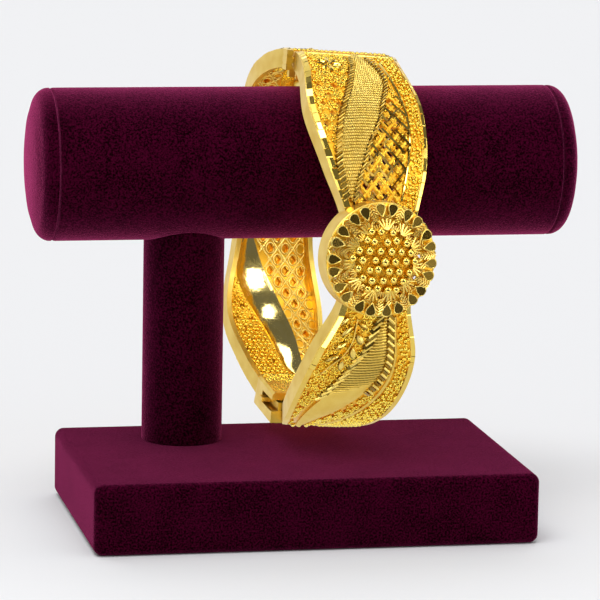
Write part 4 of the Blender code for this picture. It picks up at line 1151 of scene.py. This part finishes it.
shaded, pale, cuts = [], [], []
for zone, rows, column, pitch, long, cut, ridge, turn, away in (
        ((9, 71), UPPER_LEAF, 1, 0.86, 1.50, 0.66, 0.20, -52, -0.46),
        ((9, 71), UPPER_LEAF, 2, 0.90, 1.25, 0.66, 0.22, -44, 0.40),
        ((105, 139), LOWER_LEAF, 1, 1.45, 2.2, 0.80, 0.57, -45, -0.55),
        ((106, 137), LOWER_LEAF, 2, 1.35, 1.7, 0.70, 0.56, 50, 0.62)):
    shaded += chevrons(zone, rows, column, pitch, (long, cut, 0.6), turn, 21, away, 0.36)
    pale += chevrons(zone, rows, column, pitch, (long, ridge, 0.6), turn, 22, away, 0.40, 0.5)
# The cuts' dark colour is painted shade.
copies("front_leaf_cuts", CUT, shaded, PAINTED_SHADE_GOLD, FRONT)
copies("front_leaf_ridges", BAR, pale, MILLED_GOLD, FRONT)
for zone, rows, pitch, seed in (((210, 263), BACK_LEAF, 0.9, 26), ((275, 350), BACK_UPPER_LEAF, 0.8, 28)):
    for column, sign in ((1, -1), (2, 1)):
        cuts += chevrons(zone, rows, column, pitch, (1.5, 0.7, 0.55), sign * 130, seed + column - 1,
                         sign * 0.3, 0.30)
copies("back_leaf_cuts", CUT, cuts, BRIGHT_GOLD, BACK)

# %% [markdown]
# ## Curved lines
# A flat strip of bright-cut wire divides the field from the outer border on each stretch.

# %% Polished lines
def line_profile(width, height):
    return ((-width / 2, -0.2 * MM), (-width / 2, height * 0.55), (-width / 5, height), (width / 5, height),
            (width / 2, height * 0.55), (width / 2, -0.2 * MM))


def path_of(rows, count=60):
    angles = np.linspace(rows[0][0], rows[-1][0], count)
    return np.stack([angles, curve(rows, angles)], -1)


for name, rows, width, finish in (("upper_polished_line", UPPER_LINE, 0.52, BRIGHT_GOLD),
                                  ("lower_polished_line", LOWER_LINE, 0.62, SATIN_GOLD)):
    line = Shape()
    moulding(line, path_of(rows), line_profile(width * MM, 0.40 * MM))
    line.piece(name, finish, FRONT, sharp=25)
    print(name, width, "mm wide")

# %% [markdown]
# ## The pierced lattice
# Crossed bars run between the openings, as in a window's lattice. A cast bar carries a bright-cut one, whose
# facets are cut cell by cell. Most facets get a dark colour that paints their shade, and the rest a bright
# finish.

# %% Runs of the lattice
def lattice(zone, left, right, step, start):
    """Runs of both families of bars, and the middle of every cell side."""
    runs, sides = [], []
    dy, dx = step[0] / 2, step[1] / 2
    arc0 = math.radians(start) * ARC
    rows = np.arange(0, (math.radians(zone[1] - start)) * ARC / dy, 0.125)
    for family in (1, -1):
        for k in range(-61, 62, 2):
            run = []
            for y in rows:
                angle, across = math.degrees((arc0 + y * dy) / ARC), dx * (k - family * y)
                inside = angle >= zone[0] and left(angle) + 0.1 * MM < across < right(angle) - 0.1 * MM
                if inside:
                    run.append((angle, across))
                    if abs(y % 1 - 0.5) < 0.01:
                        sides.append((angle, across, family))
                if run and (not inside or y == rows[-1]):
                    if len(run) > 3:
                        runs.append(run)
                    run = []
    return runs, sides


def lattice_pieces(name, zones, body, wire, seed, share):
    """Three pieces: the bars, and the cuts on a share of their sides, most in a dark colour that paints their
    shade and the rest bright.
    """
    draw = np.random.default_rng(seed)
    under, tops = Shape(), ([], [])
    for zone in zones:
        runs, sides = lattice(*zone)
        along, aside = zone[3]
        for run in runs:
            moulding(under, run, round_wire(wire * MM, 0.02 * MM))
        slant = math.degrees(math.atan2(aside, along))
        length = math.hypot(aside, along) / 2 / MM
        for angle, across, family in sides:
            if draw.random() < share:
                bright = draw.random() < 0.34
                tops[bright].append(mark(angle, across, 0.38 * MM, family * slant,
                                         (length * draw.uniform(1.0, 1.45), 0.34, 0.55),
                                         tilt=draw.uniform(-20, 20)))
    under.piece(name + "_bars", CAST_BOUNCE_GOLD, body, sharp=60)
    # The dark colour of these cuts is painted shade.
    copies(name + "_cuts", CUT, tops[0], PAINTED_SHADE_GOLD, body)
    copies(name + "_bright_cuts", CUT, tops[1], BRIGHT_GOLD, body)


front_lattice = (((31, 75), edge(UPPER_LEAF, 2, 0.5 * MM), upper_line_edge, LATTICE_STEP, 34),)
lattice_pieces("front_lattice", front_lattice, FRONT, 0.40, 31, 0.80)

# %% [markdown]
# ## Granulated fields
# The ground between the leaves is packed with tiny rings of wire with a grain of gold between each three.
# They lie in staggered rows, no ring like the next, and they leave the pierced openings free.

# %% Places in a field
ROW_RISE, JITTER = 0.866, 0.08


def free_of(angle, across, holes, room):
    x, y, _ = flat(angle, across)
    for sites, size in holes:
        for a, u in sites:
            hx, hy, _ = flat(a, u)
            if abs(x - hx) + abs(y - hy) / HOLE_STRETCH < size + room:
                return False
    return True


def staggered(zone, left, right, pitch, margin, draw):
    """Rows of places between two edges, with the places between each three beside them."""
    centres, between = [], []
    place, row = math.radians(zone[0]) * ARC, 0
    while place < math.radians(zone[1]) * ARC:
        for third, extra, kept, gap in ((0, 0.0, centres, margin), (1 / 3, 0.5, between, margin * 0.6),
                                        (2 / 3, 1.0, between, margin * 0.6)):
            angle = math.degrees((place + pitch * ROW_RISE * third) / ARC)
            shift = (row % 2) / 2 + extra
            low, high = float(left(angle)) + gap, float(right(angle)) - gap
            for i in range(math.ceil(low / pitch - shift), math.floor(high / pitch - shift) + 1):
                dx, dy = draw.normal(0, JITTER * pitch, 2)
                kept.append((angle + math.degrees(dy / ARC), (i + shift) * pitch + dx))
        place += pitch * ROW_RISE
        row += 1
    return centres, between


# The vine's leaves keep three places each, along their middle, free of rings.
vine_spots = [tuple(p) for p in path_of(VINE_LINE, 24)]
for angle, share, turn, length, width in VINE_LEAVES:
    for s in (-0.5, 0.0, 0.5):
        vine_spots.append((angle + s * length * math.cos(math.radians(turn)) / 1.07,
                           share * HALF_WIDTH + s * length * math.sin(math.radians(turn)) * MM * 0.55))
print("places kept free for the vine:", len(vine_spots))

# %% [markdown]
# A field gets two pieces: its rings, and its grains. The narrow border along the right edge has grains only.

# %% Rings and grains
def granulated(name, zones, body, holes, seed, pitch=1.12, grain=0.21, rings=0.85, margin=0.42):
    """Rings and grains over some zones. Pitch and grain are in millimetres, and rings is a share."""
    draw = np.random.default_rng(seed)
    ring_marks, grain_marks = [], []
    for zone, left, right in zones:
        centres, between = staggered(zone, left, right, pitch * MM, margin * pitch * MM, draw)
        for angle, across in centres:
            if not free_of(angle, across, holes, 0.15 * MM):
                continue
            size = 0.345 * pitch * draw.uniform(0.88, 1.1)
            if draw.random() < rings:
                ring_marks.append(mark(angle, across, draw.uniform(0.04, 0.12) * MM, draw.uniform(0, 90),
                                       (size, size, size * 1.15), tilt=draw.uniform(-10, 10)))
            if draw.random() < 0.5:
                dot = grain * draw.uniform(0.6, 1.0)
                grain_marks.append(mark(angle, across, 0.10 * MM, 0, (dot, dot, dot)))
        for angle, across in between:
            if free_of(angle, across, holes, 0.1 * MM):
                dot = grain * draw.uniform(0.8, 1.25)
                grain_marks.append(mark(angle, across, draw.uniform(0.10, 0.22) * MM, 0, (dot, dot, dot)))
    if ring_marks:
        copies(name + "_rings", RING, ring_marks, BEAD_GOLD, body)
    copies(name + "_grains", GRAIN, grain_marks, BEAD_GOLD, body)


granulated("front_field", (
    ((6, 77), edge(FRONT_EDGES, 1, 1.1 * MM), edge(UPPER_LEAF, 1, -0.75 * MM)),
    ((8, 74), edge(UPPER_LEAF, 2, 0.8 * MM), upper_line_edge),
    ((100, 177), edge(FRONT_EDGES, 1, 1.0 * MM), edge(LOWER_LEAF, 1, -0.6 * MM)),
    ((106, 168), edge(LOWER_LEAF, 2, 0.6 * MM), lower_line_edge),
), FRONT, (*FRONT_HOLES, (vine_spots, 0.25 * MM)), 41, pitch=1.3, grain=0.24, rings=0.9)
granulated("front_border", (
    ((6, 78), edge(UPPER_LINE, 1, 0.3 * MM), edge(FRONT_EDGES, 2, -0.7 * MM)),
    ((100, 177), edge(LOWER_LINE, 1, 0.35 * MM), edge(FRONT_EDGES, 2, -0.9 * MM)),
), FRONT, FRONT_HOLES, 42, grain=0.34, rings=0.0, margin=0.12)

# %% [markdown]
# ## The vine and the floret
# A thin stem with paired leaves is soldered over the lower field, and a cut flower sits by the hinge. A dark
# copy under each leaf is painted shadow.

# %% Vine and floret
stem = Shape()
moulding(stem, path_of(VINE_LINE, 50), line_profile(0.38 * MM, 0.70 * MM))
stem.piece("vine_stem", MILLED_GOLD, FRONT, sharp=40)
# Under each leaf lies a dark copy, a little lower down the band: painted shadow.
leaves, leaf_shadows = [], []
for angle, share, turn, length, width in VINE_LEAVES:
    leaves.append(mark(angle, share * HALF_WIDTH, 0.72 * MM, turn, (length, width / 0.54, 2.2), tilt=6))
    leaf_shadows.append(mark(angle + 0.7, share * HALF_WIDTH, 0.45 * MM, turn, (length, width / 0.50, 1.6)))
copies("vine_leaves", LEAFLET, leaves, MILLED_GOLD, FRONT)
copies("vine_leaf_undersides", LEAFLET, leaf_shadows, PAINTED_SHADE_GOLD, FRONT)
copies("edge_balls", BALL, [mark(172.5, share * HALF_WIDTH, 0.32 * MM, 0, (0.42, 0.42, 0.42))
                            for share in (-0.42, -0.31, -0.18)], BRIGHT_GOLD, FRONT)
petals = [mark(17 + 3.0 * math.cos(a), (-0.50 * HALF_WIDTH) + 1.45 * MM * math.sin(a), 0.36 * MM,
               math.degrees(a), (2.1, 1.5, 2.2), tilt=8 * (-1) ** k)
          for k, a in enumerate(np.linspace(0, 2 * math.pi, 8, endpoint=False))]
copies("hinge_floret", LEAFLET, petals, BRIGHT_GOLD, FRONT)

# %% [markdown]
# ## The flower
# The medallion is a domed shell, riveted to the band. Eleven pairs of cups stand round its edge, and their
# polished floors are painted dark, as shade. Milled ribs and fans fill the space inside the cups, and a heap
# of balls sits in the middle.
# Everything on it is placed in a frame of its own, from its centre outward.

# %% The flower's own frame
FLOWER_RADIUS, FLOWER_ANGLE, FLOWER_ASIDE = 9.9 * MM, 88.0, 0.4 * MM
CUP_PAIRS = 11
hub, hub_out, _ = ring_seat(FLOWER_ANGLE, -FLOWER_ASIDE)
hub_side = np.array((1.0, 0.0, 0.0))
hub_up = np.cross(hub_out, hub_side)
DOME = ((0, 5.6), (3.0, 5.2), (5.5, 4.63), (6.25, 4.22), (7.9, 4.1), (9.4, 3.6), (9.9, 3.1))


def dome(radius):
    """The height of the dome over the band, in millimetres, at a radius in millimetres."""
    return np.interp(radius, *np.array(DOME).T)


def on_flower(x, y, z):
    x, y, z = np.broadcast_arrays(*(np.asarray(v, float) for v in (x, y, z)))
    return to_stand(hub + x[..., None] * hub_side + y[..., None] * hub_up + z[..., None] * hub_out)


def flower_mark(radius, turn, lift, aim=0.0, stretch=(1, 1, 1), tilt=0.0, pitch=0.0):
    """A mark on the dome, in millimetres. Its length points outward from the centre, or aside by an aim."""
    slope = (dome(radius + 0.3) - dome(radius - 0.3)) / 0.6 if radius > 0.3 else 0.0
    spoke = hub_side * math.cos(turn) + hub_up * math.sin(turn)
    round_way = -hub_side * math.sin(turn) + hub_up * math.cos(turn)
    out = hub_out - spoke * slope
    out /= np.linalg.norm(out)
    spoke = np.cross(round_way, out)
    lean, dip = math.radians(tilt), math.radians(pitch)
    out, spoke = out * math.cos(dip) + spoke * math.sin(dip), spoke * math.cos(dip) - out * math.sin(dip)
    along = spoke * math.cos(math.radians(aim)) + round_way * math.sin(math.radians(aim))
    out = out * math.cos(lean) + np.cross(along, out) * math.sin(lean)
    place = on_flower(radius * math.cos(turn) * MM, radius * math.sin(turn) * MM, (dome(radius) + lift) * MM)
    return place, TURN @ out, TURN @ along, stretch


print("flower:", round(2 * FLOWER_RADIUS / MM, 1), "mm across,", DOME[0][1], "mm high")

# %% [markdown]
# The shell is turned like a dish. Its rim stands on the band where there is band, and hangs over the band's
# edges elsewhere. A Boolean then pierces two small wedges between each two pairs of cups.

# %% Shell with its openings
SHELL_SIDES, OVER_REACH, BAND_ROUND = 176, 0.4 * MM, 39.7 * MM
turns = np.linspace(0, 2 * math.pi, SHELL_SIDES, endpoint=False)
side_x, side_y = FLOWER_RADIUS * np.cos(turns), FLOWER_RADIUS * np.sin(turns)
rim_angle = FLOWER_ANGLE - np.degrees(side_y / ARC)
over_band = ((side_x - FLOWER_ASIDE > curve(FRONT_EDGES, rim_angle) - OVER_REACH)
             & (side_x - FLOWER_ASIDE < curve(FRONT_EDGES, rim_angle, 2) + OVER_REACH))
foot = np.where(over_band, 0.75 * MM - side_y**2 / (2 * BAND_ROUND), -1.4 * MM)


def shell_rings(profile):
    return [on_flower(r * MM * np.cos(turns), r * MM * np.sin(turns), z * MM) for r, z in profile]


shell, gaps = Shape(), Shape()
shell.rings(shell_rings(((0.05, 4.85), (3.0, 4.65), (5.3, 4.1), (6.2, 3.75), (7.9, 3.65), (9.2, 3.3),
                         (9.75, 3.15), (9.9, 3.0)))
            + [on_flower(side_x * share, side_y * share, foot) for share in (1, 0.9)]
            + shell_rings(((8.8, 2.5), (5.0, 3.2), (0.05, 3.9))))
flower_shell = shell.thing("flower_shell")
for k in range(CUP_PAIRS):
    a = 2 * math.pi * (2 * k + 0.5) / (2 * CUP_PAIRS)
    for radius, size in ((6.85, 0.72), (8.7, 0.34)):
        corners = [(radius * math.cos(a) + size * s * math.cos(a + t),
                    radius * math.sin(a) + size * s * math.sin(a + t))
                   for t, s in ((math.pi, 1.0), (2.2 - math.pi, 0.9), (math.pi - 2.2, 0.9))]
        xs, ys = np.array(corners).T * MM
        gaps.rings([on_flower(xs, ys, z * MM) for z in (0.5, 7.0)])
cut_out(flower_shell, gaps.thing("gaps"))
dressed(flower_shell, (SATIN_GOLD, CAST_BOUNCE_GOLD), FRONT, sharp=40)
shell_hub, shell_axis = np.array(to_stand(hub)), TURN @ hub_out
for face in flower_shell.data.polygons:
    away = np.array(face.center) - shell_hub
    radial = away - shell_axis * np.dot(away, shell_axis)
    face.material_index = int(np.linalg.norm(radial) < 9.55 * MM)
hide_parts("flower_medallion")
print("shell:", len(flower_shell.data.polygons), "faces")

# %% [markdown]
# A cup is a teardrop with a raised lip that points to the middle. Its floor is a separate facet whose dark
# colour is painted shade, and every floor leans its own way, so that few of them flash at once. Ribs run
# along both sides of each pair.

# %% Cups, ribs and fans
CUP_SIDES, CUP_PLACE, CUP_TURN = 22, 8.62, math.radians(6.9)


def cup_rings(rows):
    """Teardrops 1 long at some scales and heights."""
    turn = np.linspace(0, 2 * math.pi, CUP_SIDES, endpoint=False)
    width = 0.36 * np.sin(turn) * (0.62 + 0.38 * np.cos(turn))
    return [[(x, y, z) for x, y in np.stack([0.5 * np.cos(turn) * scale, width * scale], -1)]
            for scale, z in rows]


CUP = template("cup", *tube(cup_rings(((1.0, -0.5), (1.0, 0.10), (0.93, 0.24), (0.84, 0.24), (0.76, 0.10)))),
               smooth=True)
FLOOR = template("cup_floor", *tube(cup_rings(((0.80, 0.0), (0.80, 0.16)))))
draw = np.random.default_rng(51)
cups, floors, ribs, fans = [], [], [], []
for k in range(CUP_PAIRS):
    middle = 2 * math.pi * (2 * k + 1.5) / (2 * CUP_PAIRS)
    for side in (-1, 1):
        turn = middle + side * CUP_TURN
        cups.append(flower_mark(CUP_PLACE, turn, 0.10, side * 4, (2.6, 3.8, 1.6), pitch=-6))
        floors.append(flower_mark(CUP_PLACE, turn, 0.12, side * 4, (2.7, 3.9, 1.6),
                                  tilt=draw.uniform(-14, 14), pitch=draw.uniform(-18, -6)))
        for step in range(7):
            radius = 6.9 + 0.44 * step
            turn_out = side * CUP_TURN + side * 1.05 / radius
            ribs.append(flower_mark(radius, middle + turn_out, 0.20, 90 - side * 35, (1.0, 0.27, 0.40)))
            if step < 4:
                ribs.append(flower_mark(radius - 0.5, middle + side * 0.35 / radius, 0.10, 90 - side * 35,
                                        (0.8, 0.24, 0.36)))
    for step in range(-2, 3):
        fans.append(flower_mark(6.2, middle + math.radians(step * 4.2), 0.26 - 0.04 * abs(step), step * 14,
                                (2.0, 0.40, 0.5)))
        fans.append(flower_mark(5.8, middle + math.pi / CUP_PAIRS + math.radians(step * 3.6),
                                0.05 - 0.02 * abs(step), step * 12, (1.1, 0.28, 0.4)))
copies("flower_cups", CUP, cups, MILLED_GOLD, FRONT)
# The floors' dark colour is painted shade.
copies("flower_cup_floors", FLOOR, floors, PAINTED_SHADE_GOLD, FRONT)
copies("flower_ribs", BAR, ribs + fans, MILLED_GOLD, FRONT)

# %% [markdown]
# The heap in the middle is polished balls in a loose honeycomb, with fine grains in the hollows round each.

# %% Balls and grains
BALL_STEP, ROW_STEP, HEAP_RADIUS = 1.86, 1.66, 5.7
balls, grains = [], []
for row in range(-4, 5):
    for column in range(-5, 6):
        x, y = (column + (row % 2) / 2) * BALL_STEP, row * ROW_STEP
        x, y = x + draw.normal(0, 0.13), y + draw.normal(0, 0.13)
        radius, turn = math.hypot(x, y), math.atan2(y, x)
        if radius < HEAP_RADIUS:
            size = draw.uniform(0.72, 0.82)
            balls.append(flower_mark(radius, turn, 0.0, 0, (size, size, size)))
            for k in range(6):
                a = k * math.pi / 3 + draw.uniform(0, 1)
                gx, gy = x + 0.98 * math.cos(a), y + 0.98 * math.sin(a)
                size = draw.uniform(0.13, 0.24)
                grains.append(flower_mark(math.hypot(gx, gy), math.atan2(gy, gx), -0.55, 0,
                                          (size, size, size)))
copies("flower_balls", BALL, balls, BRIGHT_GOLD, FRONT)
copies("flower_grains", GRAIN, grains, BEAD_GOLD, FRONT)

# %% [markdown]
# ## The back half
# Its inner side shows in the photograph: a mirror leaf with a net of wire at one side and a honeycomb of
# round forms at the other. Its outer side is built like the front.

# %% Net of wire
def back_net(zones):
    """Wires along the lattice of the openings, a ring round each and a small one at each crossing."""
    wires, loops, stars = Shape(), [], []
    for zone, left, right, step, start in zones:
        runs, _ = lattice(zone, left, right, step, start)
        for run in runs:
            moulding(wires, run, round_wire(0.14 * MM, 0.06 * MM), True)
        for angle, across in hole_sites(zone, left, right, step, 0.5 * MM):
            loops.append(mark(angle, across, 0.08 * MM, 0, (1.0, 0.80, 0.9), True))
        dy, dx = step[0] / 2, step[1] / 2
        for y in range(int(math.radians(zone[1] - zone[0]) * ARC / dy) + 1):
            angle = math.degrees((math.radians(start) * ARC + y * dy) / ARC)
            for x in range(-9, 10):
                if (x + y) % 2 and left(angle) + 0.3 * MM < x * dx < right(angle) - 0.3 * MM:
                    stars.append(mark(angle, x * dx, 0.10 * MM, 0, (0.42, 0.42, 0.8), True))
    wires.piece("back_inner_net_wires", MILLED_GOLD, BACK, sharp=60)
    copies("back_inner_net_loops", THIN_RING, loops + stars, MILLED_GOLD, BACK)


net_zones = (((213, 268), edge(BACK_LEAF, 2, 0.1 * MM), back_right, NET_STEP, 213),
             ((282, 332), back_left, edge(BACK_UPPER_LEAF, 1, -0.1 * MM), NET_STEP, 282))
back_net(net_zones)
lattice_pieces("back_outer_lattice", net_zones, BACK, 0.24, 61, 0.7)

# %% [markdown]
# The rest of the inner side is a honeycomb of small beads, and domed bosses sit in the openings. The same
# zones get rings and grains on the outer side.

# %% Beads, bosses and outer field
inner_left, inner_right = edge(BACK_EDGES, 1, 1.0 * MM), edge(BACK_EDGES, 2, -1.0 * MM)
honeycomb = (((204, 262), inner_left, edge(BACK_LEAF)), ((332, 354), inner_left, edge(BACK_UPPER_LEAF)),
             ((268, 282), inner_left, inner_right), ((282, 354), edge(BACK_UPPER_LEAF, 2), inner_right),
             ((204, 213), edge(BACK_LEAF, 2), inner_right))
beads, draw = [], np.random.default_rng(64)
for zone, left, right in honeycomb:
    centres, between = staggered(zone, left, right, 0.92 * MM, 0.3 * MM, draw)
    for angle, across in centres:
        size = draw.uniform(0.34, 0.43)
        beads.append(mark(angle, across, 0.05 * MM, 0, (size, size, size), True))
    for angle, across in between[::2]:
        beads.append(mark(angle, across, 0.10 * MM, 0, (0.16, 0.16, 0.16), True))
copies("back_inner_beads", BEAD, beads, BEAD_GOLD, BACK)
bosses = [mark(angle, across, 0.05 * MM, 0, (1.15, 0.95, 0.5)) for angle, across in net_sites + back_sites]
copies("back_bosses", BALL, bosses, CAST_BOUNCE_GOLD, BACK)
granulated("back_outer_field", honeycomb, BACK, BACK_HOLES, 63)

# %% [markdown]
# ## The velvet board
# The stand's foot is a flat board, covered in short burgundy pile that turns round its edges. A fine grid on
# six sides, pushed out round an inner block, gives edges as round as cloth over wood.

# %% Board
BOARD_HALF, BOARD_CORNER, BOARD_STEP = (39.0, 25.0, 6.15), 1.6, 1.2


def board_stops(reach):
    """Grid lines along one side: even on the flat, and close together round the edges."""
    inner = np.linspace(BOARD_CORNER - reach, reach - BOARD_CORNER,
                        max(2, int(2 * (reach - BOARD_CORNER) / BOARD_STEP)))
    ends = reach - BOARD_CORNER + BOARD_CORNER * np.tan(np.radians(np.linspace(0, 45, 6)))[1:]
    return np.concatenate([-ends[::-1], inner, ends])


def rounded_board(name):
    places, faces, half = [], [], np.array(BOARD_HALF)
    for axis in range(3):
        one, two = [k for k in range(3) if k != axis]
        a, b = np.meshgrid(board_stops(half[one]), board_stops(half[two]), indexing="ij")
        for sign in (-1, 1):
            grid = np.zeros(a.shape + (3,))
            grid[..., one], grid[..., two], grid[..., axis] = a, b, sign * half[axis]
            core = np.clip(grid, BOARD_CORNER - half, half - BOARD_CORNER)
            away = grid - core
            grid = core + BOARD_CORNER * away / np.linalg.norm(away, axis=-1, keepdims=True)
            at = len(places) + np.arange(a.size).reshape(a.shape)
            places += (grid.reshape(-1, 3) * MM).tolist()
            faces += quads(at)
    return new_object(name, places, faces, weld=0.005 * MM)


def covered(thing, finish=VELVET):
    """Velvet, kept out of the gold's reflections as it is in the photograph."""
    dressed(thing, (finish,), FRONT, sharp=50)
    thing.visible_glossy = False
    return thing


board = rounded_board("velvet_board")
for vertex in board.data.vertices:
    vertex.co.z += BOARD_HALF[2] * MM
covered(board, BOARD_VELVET)
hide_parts("stand_base")
print("board:", [round(2 * h, 1) for h in BOARD_HALF], "mm")

# %% [markdown]
# ## The velvet bar and post
# A round bar carries the bangle, and a thinner round post carries the bar. The cover is sewn at the bar's
# two ends, where a domed end is set in with a thin dark seam round it. All four are spun round an axis.

# %% Post, bar and its ends
BAR_RADIUS, BAR_LEFT, BAR_RIGHT, BAR_HEIGHT, BAR_BACK = 13.5, -41.65, 48.25, 62.1, 12.4
POST_RADIUS, POST_PLACE = 7.2, -17.7


def spun(name, profile, sides, place):
    """A solid of (along, radius) rings in millimetres, set up by a rule that places along, x and y."""
    turn = np.linspace(0, 2 * math.pi, sides, endpoint=False)
    shape = Shape()
    shape.rings([[place(a, r * math.cos(t), r * math.sin(t)) for t in turn] for a, r in profile])
    return covered(shape.thing(name))


def along_bar(a, x, y):
    return (a * MM, (BAR_BACK + x) * MM, (BAR_HEIGHT + y) * MM)


def up_post(a, x, y):
    return ((POST_PLACE + x) * MM, (BAR_BACK + y) * MM, a * MM)


seam = [(0.0, -0.45), (0.06, -0.22), (0.2, -0.07), (0.45, 0.0)]
bar_profile = ([(BAR_LEFT + a, BAR_RADIUS + r) for a, r in seam]
               + [(x, BAR_RADIUS) for x in np.linspace(BAR_LEFT + 1, BAR_RIGHT - 1, 60)]
               + [(BAR_RIGHT - a, BAR_RADIUS + r) for a, r in seam[::-1]])
bar = spun("velvet_bar", bar_profile, 128, along_bar)
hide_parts("stand_bar")
cap = ([(0.12, 13.0), (0.2, 13.3), (0.35, 13.48)]
       + [(0.35 + 2.7 * math.sin(turn), BAR_RADIUS - 3.0 * (1 - math.cos(turn)))
          for turn in np.radians(np.linspace(10, 75, 10))]
       + [(3.5, 9.6), (3.85, 7.5), (4.08, 5.0), (4.18, 2.5), (4.2, 0.05)])
for name, node, x, sign in (("velvet_end_left", "bar_cap_left", BAR_LEFT, -1),
                            ("velvet_end_right", "bar_cap_right", BAR_RIGHT, 1)):
    end = spun(name, [(x + sign * a, r) for a, r in cap], 128, along_bar)
    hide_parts(node)
post_profile = ([(12.2, 6.9), (12.35, 7.15), (12.6, POST_RADIUS)]
                + [(z, POST_RADIUS) for z in np.linspace(13, 52.2, 24)])
post = spun("velvet_post", post_profile, 96, up_post)
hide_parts("stand_post")
print("bar:", round(BAR_RIGHT - BAR_LEFT, 1), "mm long between the seams")

# %% [markdown]
# ## The end
# The small shapes that served for the copies are taken out again.

# %% Remove the small shapes
for shape in TEMPLATES:
    bpy.data.objects.remove(shape)
